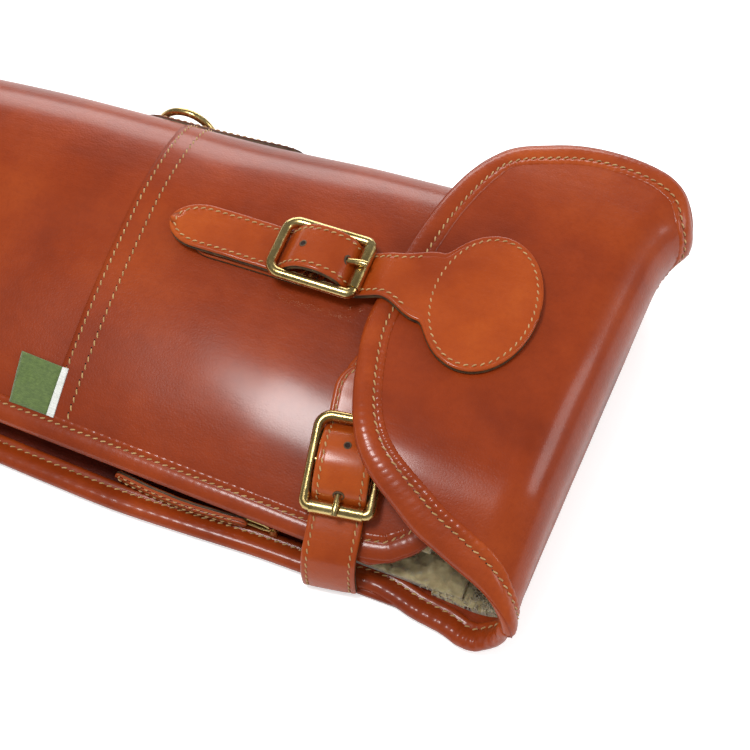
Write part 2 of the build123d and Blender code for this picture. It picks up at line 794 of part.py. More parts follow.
# The pull: a brass loop on the slider's pin, and a stitched leather tab
with BuildPart() as puller_link:
    with BuildSketch(pull_section):
        Circle(BAIL_PIN / 2 + 1.0)
        Circle(BAIL_PIN / 2 + RUNNING, mode=Mode.SUBTRACT)
    extrude(amount=2.2, both=True)
    with BuildLine(pull_plane):
        link_path = FilletPolyline(
            (1.6, 1.4),
            (4.5, LINK_HALF_WIDTH),
            (LINK_LENGTH, LINK_HALF_WIDTH),
            (LINK_LENGTH, -LINK_HALF_WIDTH),
            (4.5, -LINK_HALF_WIDTH),
            (1.6, -1.4),
            radius=1.2,
        )
    with BuildSketch(Plane(origin=link_path @ 0, z_dir=link_path % 0)):
        Circle(LINK_WIRE / 2)
    sweep(path=link_path)
finish(puller_link.part, "puller_link")
with BuildPart() as zip_puller:
    with BuildSketch(pull_section):
        with Locations((LINK_LENGTH + 1.5, 0)):
            SlotOverall(8.0, PULLER_FOLD)
        with Locations((LINK_LENGTH + PULLER_LENGTH / 2 + 3, 0)):
            Rectangle(PULLER_LENGTH - 4, PULLER_THICKNESS)
        with Locations((LINK_LENGTH, 0)):
            Circle(LINK_WIRE / 2 + RUNNING, mode=Mode.SUBTRACT)
    extrude(amount=PULLER_WIDTH / 2, both=True)
    # the link's two sides pass through notches in the folded end
    with BuildSketch(pull_plane.offset(-4)):
        with Locations((LINK_LENGTH - 2.4, LINK_HALF_WIDTH), (LINK_LENGTH - 2.4, -LINK_HALF_WIDTH)):
            Rectangle(4.6, LINK_WIRE + 0.4)
    extrude(amount=8, mode=Mode.SUBTRACT)
finish(zip_puller.part, "zip_puller")

# ---- Carrying ring, its tab on the spine, and the sewn-in label ----------------------------------

ring_y = spine_y(RING_X) + PATCH + 1.6
with BuildPart() as ring_tab_outline:
    with BuildSketch(Plane(origin=(RING_TAB_X, 0, RING_TAB_Z), x_dir=(1, 0, 0), z_dir=(0, -1, 0))):
        SlotOverall(RING_TAB_LENGTH, RING_TAB_WIDTH)
    extrude(amount=-140)
ring_layer = body_solid(-PATCH) - body_solid(-GAP)
ring_tab = ring_layer & ring_tab_outline.part & block(-400, 0, 70, 140, 4, 60)
with BuildPart() as ring_loop:
    with BuildSketch(Plane.YZ.offset(RING_X)):
        with Locations((ring_y, RING_Z)):
            Circle(RING_WIRE / 2 + 1.9)
        with BuildLine():
            Polyline(
                (ring_y - 3, RING_Z - 3.2),
                (ring_y, RING_Z - 3.9),
                (ring_y, RING_Z + 3.9),
                (ring_y - 3, RING_Z + 3.2),
                close=True,
            )
        make_face()
        with Locations((ring_y, RING_Z)):
            Circle(RING_WIRE / 2 + RUNNING, mode=Mode.SUBTRACT)
    extrude(amount=RING_LOOP_WIDTH / 2, both=True)
ring_tab = ring_tab + (ring_loop.part - body_solid(-GAP))
finish(ring_tab, "ring_tab")

lean = radians(RING_LEAN)
RING_PLANE = Plane(origin=(RING_X, ring_y, RING_Z), x_dir=(1, 0, 0), z_dir=(0, -cos(lean), sin(lean)))
half_width = (RING_WIDTH - RING_WIRE) / 2
foot = half_width - RING_CORNER
with BuildPart() as d_ring:
    with BuildLine(RING_PLANE):
        ring_path = Line((-foot, 0), (foot, 0))
    with BuildSketch(Plane(origin=ring_path @ 0, z_dir=ring_path % 0)):
        Circle(RING_WIRE / 2)
    sweep(path=ring_path)
    with BuildLine(RING_PLANE) as bow:
        RadiusArc((foot, 0), (half_width, RING_CORNER), -RING_CORNER)
        ThreePointArc(
            (half_width, RING_CORNER),
            (0, RING_DEPTH - RING_WIRE),
            (-half_width, RING_CORNER),
        )
        RadiusArc((-half_width, RING_CORNER), (-foot, 0), -RING_CORNER)
    with BuildSketch(Plane(origin=(bow.wire() @ 0), z_dir=(bow.wire() % 0))):
        Circle(RING_WIRE / 2)
    sweep(path=bow.wire())
finish(d_ring.part, "d_ring")

with BuildPart() as label_outline:
    with BuildSketch(Plane.XY.offset(20)):
        with BuildLine():
            Polyline((-229, -83.5), (-205, -84.5), (-204, -60), (-228, -58), close=True)
        make_face()
    extrude(amount=60)
LABEL = 0.8  # thickness
finish(on_leather(label_outline.part, GAP, LABEL), "label")
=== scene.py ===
import math

import bmesh
import bpy
import numpy as np
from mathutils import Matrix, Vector, noise


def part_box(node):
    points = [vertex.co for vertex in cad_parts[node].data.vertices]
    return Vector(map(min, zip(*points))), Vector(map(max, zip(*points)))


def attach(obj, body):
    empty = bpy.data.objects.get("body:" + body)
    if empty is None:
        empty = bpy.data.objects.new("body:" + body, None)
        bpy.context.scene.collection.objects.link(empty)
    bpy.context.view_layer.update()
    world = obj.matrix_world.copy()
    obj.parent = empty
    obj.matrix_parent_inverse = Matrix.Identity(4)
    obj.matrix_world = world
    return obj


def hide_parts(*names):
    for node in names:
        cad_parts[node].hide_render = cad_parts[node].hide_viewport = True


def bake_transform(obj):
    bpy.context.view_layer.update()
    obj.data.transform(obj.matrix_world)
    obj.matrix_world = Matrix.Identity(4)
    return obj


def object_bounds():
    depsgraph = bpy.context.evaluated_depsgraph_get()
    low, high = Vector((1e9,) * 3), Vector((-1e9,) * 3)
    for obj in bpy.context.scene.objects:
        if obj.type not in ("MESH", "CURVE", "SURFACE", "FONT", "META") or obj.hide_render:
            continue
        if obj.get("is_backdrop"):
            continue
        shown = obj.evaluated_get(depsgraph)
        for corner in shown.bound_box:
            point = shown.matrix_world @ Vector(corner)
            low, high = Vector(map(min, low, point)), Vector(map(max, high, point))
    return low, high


# The looks of a leather slip case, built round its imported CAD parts. The scene is in metres; the
# shapes below are worked out in millimetres in the same frame, and turned into metres as meshes.

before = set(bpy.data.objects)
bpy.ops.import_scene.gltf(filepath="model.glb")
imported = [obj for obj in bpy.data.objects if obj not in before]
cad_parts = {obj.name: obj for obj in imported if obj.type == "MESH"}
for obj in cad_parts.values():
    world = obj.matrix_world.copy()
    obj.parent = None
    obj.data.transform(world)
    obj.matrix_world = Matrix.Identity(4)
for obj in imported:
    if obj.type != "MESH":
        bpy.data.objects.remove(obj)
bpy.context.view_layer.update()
MM = 0.001


def low(node):
    """A CAD node's lowest corner, in millimetres."""
    return np.array(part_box(node)[0]) / MM


def high(node):
    return np.array(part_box(node)[1]) / MM


def middle(node):
    return (low(node) + high(node)) / 2


# ---- Driving dimensions, in millimetres ------------------------------------------------------------

TAIL_X = low("tail_leather")[0]
SEAM_X = high("tail_leather")[0]
SPINE_Y = 105.4  # spine and front panel's edge at X = 0, and how they run along the case
SPINE_SLOPE = 0.037
FRONT_Y = -101.0
FRONT_SLOPE = -0.049
BACK_Y = -106.6
BACK_SLOPE = -0.025
ZIP_END_X = -445  # from here towards the closed end, the two panels' edges draw together
MEETING = 60  # over this length
BOW, BOW_X, BOW_REACH = 3.3, -165, 55  # the back roll bows out by this much, round this X
HEIGHT = high("mouth_leather")[2]
TAIL_HEIGHT = 30.0
RIM_Z = 21.0
TAIL_RIM_Z = 15.0
BELLY = 0.42
TAIL_CORNER = 45.0
LEATHER = 3.0
CROWN = ((0.09, 0.27), (0.19, 0.51), (0.34, 0.76), (0.50, 0.91), (0.67, 1.0), (0.84, 0.90), (0.95, 0.62))
SECTION_PITCH = 6.0  # between the body's sections
SECTION_STEPS = 10  # points on each span of a section
CROWN_END = (len(CROWN) + 1) * SECTION_STEPS  # the section's point where the spine's lower arc starts

SKEW = math.radians(4.1)
FOLD_X = 36.0  # the stuffed end wall bulges past the CAD's plain one
ALONG = np.array((math.sin(SKEW), math.cos(SKEW), 0.0))
OUTWARD = np.array((math.cos(SKEW), -math.sin(SKEW), 0.0))
UP = np.array((0.0, 0.0, 1.0))
LOWER_BEND = 22.0
UPPER_BEND = 25.0
UNDER = 18.0  # the end wall's sheet starts this far before its lower bend
FLAP_TOP = 64.5
CROWNED = 0.9  # the flap's top rises this much between its bend and its edge
WALL_NEAR = -111.0
WALL_FAR = 103.0
FLAP_SECTIONS = (
    (-120.0, 35.0, 4.0), (-113.0, 37.0, 3.0), (-100.0, 45.0, 1.0), (-85.0, 55.0, 0.0),
    (-70.0, 61.5, 0.0), (-50.0, 64.5, 0.0), (0.0, 64.5, 0.0), (70.0, 64.0, 1.5), (90.0, 63.0, 4.0),
    (104.0, 61.0, 8.0), (130.0, 57.0, 9.0),
)
FLAP_EDGE = (
    (31, -111), (11, -102), (-9, -95), (-30, -86), (-59, -63), (-74, -17), (-74, 17), (-65, 72),
    (-48, 110), (-26, 124.5), (-3, 131.5), (22, 131), (42, 123), (50, 110),
)
MOUTH_EDGE = ((-40, -101), (-28, -94), (-17, -85), (-6, -62), (-2, -30), (-2, 15), (-2, 60), (-3, 90))

STITCH = 4.0  # pitch
ROLL_SEAM = 9.0  # from a rolled edge to its stitches
SEAM_LAP = 7.0  # the two panels overlap by this much each side of their seam
LINED = LEATHER + 0.1  # depth at which a lining starts
THREAD = 0.36  # radius of the thread

# ---- Curves and meshes ------------------------------------------------------------------------------


def curve(points, per_span=12):
    """A smooth curve through the points."""
    p = np.asarray(points, float)
    p = np.vstack([2 * p[0] - p[1], p, 2 * p[-1] - p[-2]])
    t = np.linspace(0, 1, per_span, endpoint=False)[:, None]
    spans = []
    for a, b, c, d in zip(p, p[1:], p[2:], p[3:]):
        square = (2 * a - 5 * b + 4 * c - d) * t**2
        cube = (3 * b - a - 3 * c + d) * t**3
        spans.append(0.5 * (2 * b + (c - a) * t + square + cube))
    return np.vstack([*spans, p[-2][None]])


def lengths(p):
    return np.concatenate([[0.0], np.cumsum(np.linalg.norm(np.diff(p, axis=0), axis=1))])


def at_lengths(p, where):
    s = lengths(p)
    return np.column_stack([np.interp(where, s, p[:, k]) for k in range(p.shape[1])])


def spaced(p, step):
    """The curve's points again, evenly spaced."""
    total = lengths(p)[-1]
    return at_lengths(p, np.linspace(0, total, max(3, int(round(total / step)) + 1)))


def arrays(*values):
    """The values, as arrays of one shape."""
    return np.broadcast_arrays(*(np.asarray(v, float) for v in values))


def unit(v):
    return v / np.maximum(np.linalg.norm(v, axis=-1, keepdims=True), 1e-9)


def tangents(p):
    return unit(np.gradient(p, axis=0))


def eased(share):
    """A share from 0 to 1 that starts and stops gently."""
    return share * share * (3 - 2 * share)


def ruffle(p, size, amount):
    """Smooth random offsets, the same at every run, one for each point."""
    flat = np.asarray(p, float).reshape(-1, 3)
    values = [noise.noise(Vector(q / size)) for q in flat]
    return (np.array(values) * amount).reshape(np.shape(p)[:-1])


def piece(name, verts, faces, materials, which=None, smooth=True):
    """A mesh object from points in millimetres, with its faces turned outwards."""
    mesh = bpy.data.meshes.new(name)
    mesh.from_pydata((np.asarray(verts, float) * MM).tolist(), [], faces)
    materials = materials if isinstance(materials, (list, tuple)) else [materials]
    for m in materials:
        mesh.materials.append(m)
    if which is not None:
        mesh.polygons.foreach_set("material_index", which)
    mesh.polygons.foreach_set("use_smooth", [smooth] * len(mesh.polygons))
    bm = bmesh.new()
    bm.from_mesh(mesh)
    bmesh.ops.recalc_face_normals(bm, faces=bm.faces)
    bm.to_mesh(mesh)
    bm.free()
    mesh.update()
    made = bpy.data.objects.new(name, mesh)
    bpy.context.scene.collection.objects.link(made)
    return made


def slab(name, top, bottom, material):
    """A closed sheet between two grids of points."""
    rows, columns = top.shape[:2]
    count = rows * columns
    index = np.arange(count).reshape(rows, columns)
    faces = []
    for i in range(rows - 1):
        for j in range(columns - 1):
            a, b, c, d = index[i, j], index[i, j + 1], index[i + 1, j + 1], index[i + 1, j]
            faces.append((a, b, c, d))
            faces.append((d + count, c + count, b + count, a + count))
    rim = [*index[0, :], *index[1:, -1], *index[-1, -2::-1], *index[-2:0:-1, 0]]
    for a, b in zip(rim, rim[1:] + rim[:1]):
        faces.append((a, a + count, b + count, b))
    return piece(name, np.vstack([top.reshape(-1, 3), bottom.reshape(-1, 3)]), faces, material)


def sheet(name, surface, a, b, lift, thickness, material):
    """A closed sheet that follows a surface."""
    return slab(name, surface(a, b, lift), surface(a, b, lift - thickness), material)


def loft(name, rings, materials, which=None, smooth=True):
    """A closed form through rings of points; each ring's row may have its own material."""
    rings = np.asarray(rings, float)
    n, m = rings.shape[:2]
    faces, index = [], []
    for i in range(n - 1):
        for j in range(m):
            k = (j + 1) % m
            faces.append((i * m + j, i * m + k, (i + 1) * m + k, (i + 1) * m + j))
            index.append(0 if which is None else which[j])
    faces.append(tuple(range(m)))
    faces.append(tuple(range((n - 1) * m, n * m)))
    index += [0, 0]
    return piece(name, rings.reshape(-1, 3), faces, materials, index, smooth)


def dress(made, slot, rides="pocket", blends=None, stands_for=()):
    """Ties a piece to its body; where blends are given, only bakes its place into its mesh. Hides the CAD
    nodes that it stands for. The slot is not used.
    """
    if blends:
        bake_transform(made)
    else:
        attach(made, rides)
    if stands_for:
        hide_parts(*stands_for)
    return made


# ---- Body surface -----------------------------------------------------------------------------------


def spine_y(x):
    return SPINE_Y + SPINE_SLOPE * x


def front_y(x):
    """The front panel's edge. Past the zip's end it runs out to meet the back panel's."""
    meets = eased(np.clip((ZIP_END_X - np.asarray(x, float)) / MEETING, 0, 1))
    return (FRONT_Y + FRONT_SLOPE * x) * (1 - meets) + (back_y(x) + 2.0) * meets


def back_y(x):
    return BACK_Y + BACK_SLOPE * x


def height(x):
    share = max(0.0, (x + 60) / (TAIL_X + 60))
    return HEIGHT - (HEIGHT - TAIL_HEIGHT) * share**2


def rim_z(x):
    share = min(0.0, x) / TAIL_X
    return RIM_Z - (RIM_Z - TAIL_RIM_Z) * share**2


def section(x):
    """The outside in the YZ plane: front panel's edge, crown, spine, back panel's edge."""
    front, back, spine, rim, top = front_y(x), back_y(x), spine_y(x), rim_z(x), height(x)
    belly = BELLY * top
    points = [(front, rim)]
    points += [(front + u * (spine - front), rim + v * (top - rim)) for u, v in CROWN]
    points += [(spine, belly)]
    for angle in (30, 60, 90):
        a = math.radians(angle)
        points.append((spine - belly * (1 - math.cos(a)), belly * (1 - math.sin(a))))
    points += [(spine - belly - 20, 0), ((spine - belly + back) / 2, 0), (back + 20, 0), (back, 0)]
    return curve(points, SECTION_STEPS)


SECTION_XS = np.arange(TAIL_X - 10, 50, SECTION_PITCH)
SECTIONS = np.array([section(x) for x in SECTION_XS])
SECTION_S = np.array([lengths(s) for s in SECTIONS])


def body_raw(x, s):
    """A place on the outside: X, and the distance round the section from the front panel's edge."""
    x, s = arrays(x, s)
    spot = np.clip((x - SECTION_XS[0]) / SECTION_PITCH, 0, len(SECTION_XS) - 1.001)
    i = spot.astype(int)
    f = spot - i
    out = np.empty(x.shape + (3,))
    out[..., 0] = x
    flat_i, flat_f, flat_s = i.ravel(), f.ravel(), s.ravel()
    yz = np.empty((flat_s.size, 2))
    for n in np.unique(flat_i):
        mine = flat_i == n
        ends = []
        for k in (n, n + 1):
            t, p = SECTION_S[k], SECTIONS[k]
            before = np.minimum(flat_s[mine], 0)[:, None] * unit(p[1] - p[0])
            after = np.maximum(flat_s[mine] - t[-1], 0)[:, None] * unit(p[-1] - p[-2])
            between = np.column_stack([np.interp(flat_s[mine], t, p[:, c]) for c in (0, 1)])
            ends.append(between + before + after)
        w = flat_f[mine][:, None]
        yz[mine] = ends[0] * (1 - w) + ends[1] * w
    out[..., 1:] = yz.reshape(x.shape + (2,))
    return out


def above_rest(p):
    """Nothing goes below the plane that the case rests on."""
    p[..., 2] = np.maximum(p[..., 2], 0.05)
    return p


def off_surface(raw, a, b, lift, reach, uneven, rest):
    """Places above or below a surface, which soft filling and handling leave not quite even."""
    p = raw(a, b)
    da = raw(np.asarray(a) + reach[0], b) - raw(np.asarray(a) - reach[0], b)
    db = raw(a, np.asarray(b) + reach[1]) - raw(a, np.asarray(b) - reach[1])
    n = unit(np.cross(da, db))
    soft = sum(ruffle(p, size, amount) for size, amount in uneven)
    upper = np.clip((p[..., 2] - rest) / 14, 0, 1)  # what lies flat stays even
    return above_rest(p + n * (np.asarray(lift) + soft * upper)[..., None])


def body_at(x, s, lift=0.0):
    """A place above or below the body's outside."""
    return off_surface(body_raw, x, s, lift, (2.0, 1.5), ((95.0, 1.5), (38.0, 0.45)), 8)


def total_s(x):
    return np.interp(x, SECTION_XS, SECTION_S[:, -1])


def spine_s(x):
    return np.interp(x, SECTION_XS, SECTION_S[:, CROWN_END])


def s_of(x, y):
    """The distance round the section at which the front panel has this Y."""
    near = SECTIONS[int(np.argmin(np.abs(SECTION_XS - x)))][: CROWN_END + 1]
    shift = front_y(x) - near[0, 0]
    return float(np.interp(y, near[:, 0] + shift, lengths(near)))


def on_body(places):
    """Plan places (X, Y) on the front panel as places (X, distance round the section)."""
    return np.array([(x, s_of(x, y)) for x, y in places])


# ---- Flap and end wall surface: distance along the fold, distance round its section -----------------

SECTION_TABLE = curve(FLAP_SECTIONS, 10)
HALF_PI = math.pi / 2


def flap_parts(a):
    """Along the fold: the flap's height, the wall's flare, the upper bend's radius, the wall's length."""
    top = np.interp(a, SECTION_TABLE[:, 0], SECTION_TABLE[:, 1])
    flare = np.interp(a, SECTION_TABLE[:, 0], SECTION_TABLE[:, 2])
    radius = np.minimum(UPPER_BEND, top - LOWER_BEND - 2)
    wall = np.hypot(flare, top - radius - LOWER_BEND)
    return top, flare, radius, wall


def flap_raw(a, u):
    """A place on the sheet that goes from under the case, up the end wall and over the top."""
    a, u = arrays(a, u)
    top, flare, radius, wall = flap_parts(a)
    bend_low = LOWER_BEND * HALF_PI
    bend_high = radius * HALF_PI
    u1 = u - UNDER
    u2 = u1 - bend_low
    u3 = u2 - wall
    u4 = u3 - bend_high
    angle = np.clip(u1 / LOWER_BEND, 0, HALF_PI)
    d = -LOWER_BEND + LOWER_BEND * np.sin(angle) + np.minimum(u1, 0)
    z = LOWER_BEND - LOWER_BEND * np.cos(angle)
    share = np.clip(u2 / wall, 0, 1)
    d = d + share * flare
    z = z + share * (top - radius - LOWER_BEND)
    turn = np.clip(u3 / radius, 0, HALF_PI)
    d = d - radius * (1 - np.cos(turn))
    z = z + radius * np.sin(turn)
    over = np.maximum(u4, 0)
    d = d - over
    z = z + CROWNED * np.sin(np.clip(over / 90.0, 0, 1) * math.pi)
    return np.array((FOLD_X, 0, 0)) + a[..., None] * ALONG + d[..., None] * OUTWARD + z[..., None] * UP


def flap_at(a, u, lift=0.0):
    """A place above or below the outside of the end wall and flap."""
    return off_surface(flap_raw, a, u, lift, (1.5, 1.0), ((80.0, 0.8), (30.0, 0.25)), 6)


def from_fold(x, y):
    """A plan place, as its distances along the fold and outwards of it."""
    rel = np.array((x - FOLD_X, y, 0.0))
    return float(rel @ ALONG), float(rel @ OUTWARD)


def flap_place(x, y):
    """A plan place on the flap's top, or on its bend, as (along, round)."""
    a, d = from_fold(x, y)
    _, flare, radius, wall = (float(v) for v in flap_parts(a))
    before = UNDER + LOWER_BEND * HALF_PI + wall
    flat = flare - radius
    if d < flat:
        return a, before + radius * HALF_PI + flat - d
    turn = math.asin(min(1.0, (d - flat) / radius))
    return a, before + radius * (HALF_PI - turn)


def wall_middle(a):
    """How far round the sheet the end wall's leather meets the flap's."""
    wall = flap_parts(a)[3]
    return UNDER + LOWER_BEND * HALF_PI + wall * 0.4


EDGE_AU = np.array([flap_place(x, y) for x, y in curve(FLAP_EDGE, 14)])
SIDE_NEAR = np.array([(WALL_NEAR, float(wall_middle(WALL_NEAR))), tuple(EDGE_AU[0])])
SIDE_FAR = np.array([tuple(EDGE_AU[-1]), (WALL_FAR, float(wall_middle(WALL_FAR)))])

# The two blends: round the lower bend, and round the upper one
AT_FOLD = np.array((FOLD_X, 0, 0))
LOWER_BLEND = (
    "pocket",
    "end_wall",
    tuple((AT_FOLD - LOWER_BEND * OUTWARD) * MM),
    tuple((AT_FOLD + LOWER_BEND * UP) * MM),
)
UPPER_BLEND = (
    "end_wall",
    "flap",
    tuple((AT_FOLD + (FLAP_TOP - UPPER_BEND) * UP) * MM),
    tuple((AT_FOLD - UPPER_BEND * OUTWARD + FLAP_TOP * UP) * MM),
)

# ---- Materials --------------------------------------------------------------------------------------


class Nodes:
    """A material's node tree, with short ways to add what each material here needs."""

    def __init__(self, name):
        self.material = bpy.data.materials.new(name)
        self.material.use_nodes = True
        self.tree = self.material.node_tree
        self.shader = self.tree.nodes["Principled BSDF"]
        self.place = self.tree.nodes.new("ShaderNodeTexCoord").outputs["Object"]
        self.bumped = None

    def link(self, a, b):
        self.tree.links.new(a, b)

    def node(self, kind, **values):
        made = self.tree.nodes.new(kind)
        for key, value in values.items():
            if key in made.inputs:
                made.inputs[key].default_value = value
            else:
                setattr(made, key, value)
        return made

    def stretched(self, scale):
        made = self.node("ShaderNodeMapping")
        made.inputs["Scale"].default_value = scale
        self.link(self.place, made.inputs["Vector"])
        return made.outputs["Vector"]

    def noise(self, scale, detail=4.0, rough=0.55, stretch=None):
        made = self.node("ShaderNodeTexNoise", Scale=scale, Detail=detail, Roughness=rough)
        self.link(self.stretched(stretch) if stretch else self.place, made.inputs["Vector"])
        return made.outputs["Fac"]

    def cells(self, scale, feature="F1"):
        made = self.node("ShaderNodeTexVoronoi", Scale=scale, feature=feature)
        self.link(self.place, made.inputs["Vector"])
        return made.outputs["Distance"]

    def wave(self, scale, distortion, direction):
        settings = {"Scale": scale, "Distortion": distortion, "bands_direction": direction}
        made = self.node("ShaderNodeTexWave", **settings)
        self.link(self.place, made.inputs["Vector"])
        return made.outputs["Fac"]

    def ramp(self, value, stops):
        made = self.node("ShaderNodeValToRGB")
        ends = made.color_ramp.elements
        for k, (at, colour) in enumerate(stops):
            stop = ends[k] if k < 2 else ends.new(at)
            stop.position = at
            stop.color = (*colour, 1.0)
        self.link(value, made.inputs["Fac"])
        return made.outputs["Color"]

    def span(self, value, lowest, highest, start=0.3, end=0.7):
        made = self.node("ShaderNodeMapRange")
        settings = {"From Min": start, "From Max": end, "To Min": lowest, "To Max": highest}
        for key, number in settings.items():
            made.inputs[key].default_value = number
        self.link(value, made.inputs["Value"])
        return made.outputs["Result"]

    def mix(self, a, colour, factor):
        """One colour laid over another by a factor that varies from place to place."""
        made = self.node("ShaderNodeMix", data_type="RGBA", blend_type="MIX")
        self.link(factor, made.inputs["Factor"])
        self.link(a, made.inputs["A"])
        made.inputs["B"].default_value = (*colour, 1.0)
        return made.outputs["Result"]

    def bump(self, value, distance, strength=1.0):
        made = self.node("ShaderNodeBump", Distance=distance * MM, Strength=strength)
        self.link(value, made.inputs["Height"])
        if self.bumped is not None:
            self.link(self.bumped, made.inputs["Normal"])
        self.bumped = made.outputs["Normal"]

    def done(self, colour, roughness=None, **values):
        self.link(colour, self.shader.inputs["Base Color"])
        if roughness is not None:
            self.link(roughness, self.shader.inputs["Roughness"])
        if self.bumped is not None:
            self.link(self.bumped, self.shader.inputs["Normal"])
        for key, value in values.items():
            self.shader.inputs[key.replace("_", " ")].default_value = value
        return self.material


SHINE = (0.34, 0.46)  # roughness, from the most rubbed places to the dullest
COAT = 0.45
GRAIN = 0.05


def leather(name, dye, wrinkles):
    """Pull-up leather: cloudy dye, pores, fine creases, and a waxed surface that's duller in patches."""
    m = Nodes(name)
    cloud = m.noise(14.0, 5.0, 0.6)
    colour = m.ramp(cloud, tuple(zip((0.30, 0.52, 0.72), dye)))
    fine = m.noise(420.0, 3.0, 0.6)
    colour = m.mix(colour, dye[0], m.span(fine, 0.0, 0.22, 0.45, 0.75))
    pores = m.cells(900.0)
    m.bump(m.span(pores, 0.0, 1.0, 0.0, 0.6), GRAIN)
    creases = m.noise(60.0, 6.0, 0.62, (1.0, 3.2, 1.6))
    m.bump(creases, wrinkles)
    m.bump(m.noise(900.0, 2.0, 0.5), GRAIN * 0.8)
    rough = m.span(m.noise(35.0, 4.0, 0.6), *SHINE)
    return m.done(colour, rough, Coat_Weight=COAT, Coat_Roughness=0.19, Specular_IOR_Level=0.12)


# Each leather's dark, middle and light dye
TAN_DYE = ((0.160, 0.018, 0.0022), (0.243, 0.031, 0.0034), (0.310, 0.047, 0.0055))
STRAP_DYE = ((0.24, 0.031, 0.0030), (0.335, 0.052, 0.0048), (0.42, 0.080, 0.0085))
ROLLED_DYE = ((0.170, 0.020, 0.0025), (0.275, 0.038, 0.0042), (0.390, 0.068, 0.0085))
INNER_DYE = ((0.050, 0.006, 0.003), (0.085, 0.010, 0.004), (0.13, 0.018, 0.006))
TAN = leather("tan_leather", TAN_DYE, wrinkles=0.25)
STRAP_TAN = leather("strap_leather", STRAP_DYE, wrinkles=0.4)
ROLLED = leather("rolled_leather", ROLLED_DYE, wrinkles=0.5)
INNER = leather("inner_leather", INNER_DYE, wrinkles=0.5)


def cut_edge():
    """A strap's cut side: two layers of raw leather, dark olive brown."""
    m = Nodes("cut_leather_edge")
    stops = ((0.3, (0.035, 0.018, 0.008)), (0.55, (0.085, 0.045, 0.016)), (0.8, (0.15, 0.075, 0.025)))
    colour = m.ramp(m.noise(260.0, 4.0, 0.6), stops)
    m.bump(m.noise(700.0, 4.0, 0.7), 0.15)
    return m.done(colour, m.span(m.noise(90.0), 0.5, 0.75))


def thread():
    """Pale waxed linen, with a twist."""
    m = Nodes("linen_thread")
    stops = ((0.3, (0.36, 0.19, 0.06)), (0.6, (0.55, 0.33, 0.12)), (0.85, (0.66, 0.44, 0.19)))
    colour = m.ramp(m.noise(300.0, 3.0, 0.5), stops)
    m.bump(m.wave(1500.0, 1.0, "DIAGONAL"), 0.08)
    return m.done(colour, m.span(m.noise(200.0), 0.45, 0.65), Sheen_Weight=0.2)


def painted_hole_shade():
    """The inside of a hole, painted near black as shade."""
    m = Nodes("painted_hole_shade")
    colour = m.ramp(m.noise(400.0), ((0.3, (0.012, 0.004, 0.002)), (0.7, (0.03, 0.010, 0.004))))
    return m.done(colour, m.span(m.noise(200.0), 0.7, 0.9))


def pile():
    """Sheepskin pile: creamy olive curls, painted darker between them as shade."""
    m = Nodes("fleece_pile")
    curls = m.cells(330.0, feature="SMOOTH_F1")
    # the hollows between the curls (far from each cell's middle) are painted dark as shade, following the
    # bump below
    stops = ((0.05, (0.50, 0.41, 0.22)), (0.45, (0.37, 0.29, 0.14)), (0.9, (0.16, 0.12, 0.05)))
    colour = m.ramp(curls, stops)
    colour = m.mix(colour, (0.33, 0.24, 0.11), m.span(m.noise(45.0, 3.0), 0.0, 0.5))
    m.bump(curls, -0.9)
    m.bump(m.noise(1400.0, 5.0, 0.75), 0.5)
    rough = m.span(m.noise(100.0), 0.8, 1.0)
    return m.done(colour, rough, Sheen_Weight=0.7, Sheen_Roughness=0.5, Subsurface_Weight=0.1)


def brass():
    """Polished brass, worn: greenish gold, with fine draw lines, small pits and smears."""
    m = Nodes("worn_brass")
    stops = ((0.25, (0.44, 0.30, 0.10)), (0.5, (0.66, 0.49, 0.20)), (0.8, (0.80, 0.64, 0.31)))
    colour = m.ramp(m.noise(70.0, 5.0, 0.6), stops)
    m.bump(m.noise(900.0, 4.0, 0.6, (1.0, 0.12, 1.0)), 0.03)
    m.bump(m.noise(240.0, 5.0, 0.6), 0.10)
    rough = m.span(m.noise(160.0, 6.0, 0.7), 0.16, 0.36)
    return m.done(colour, rough, Metallic=1.0)


def woven(name, dark, light, pitch):
    """A woven tape or ribbon: two crossed sets of threads."""
    m = Nodes(name)
    across = m.wave(pitch, 0.3, "X")
    down = m.wave(pitch, 0.3, "Z")
    colour = m.ramp(m.noise(500.0, 3.0, 0.6), ((0.3, dark), (0.7, light)))
    colour = m.mix(colour, dark, m.span(across, 0.0, 0.4, 0.0, 1.0))
    m.bump(across, 0.12)
    m.bump(down, 0.12)
    return m.done(colour, m.span(m.noise(120.0), 0.75, 0.95), Sheen_Weight=0.3)


EDGE = cut_edge()
THREAD_MATERIAL = thread()
HOLE_SHADE = painted_hole_shade()
FLEECE = pile()
BRASS = brass()
TAPE = woven("zip_tape", (0.030, 0.012, 0.008), (0.075, 0.030, 0.018), 420.0)
GREEN = woven("label_green", (0.075, 0.12, 0.028), (0.13, 0.19, 0.045), 520.0)
WHITE = woven("label_white", (0.62, 0.63, 0.58), (0.80, 0.80, 0.76), 520.0)

# ---- Stitching --------------------------------------------------------------------------------------

SLANT = math.radians(20.0)
HOLE_RADIUS = 0.42
SIXTHS = [(math.cos(k * math.pi / 3), math.sin(k * math.pi / 3)) for k in range(6)]

# A stitch, from end to end: share of its half length, height of its middle, share of the thread's radius
ARCH = ((-1.0, -0.35, 0.45), (-0.78, 0.12, 0.9), (-0.3, 0.34, 1.05))
ARCH += tuple((-share, lift, size) for share, lift, size in reversed(ARCH))


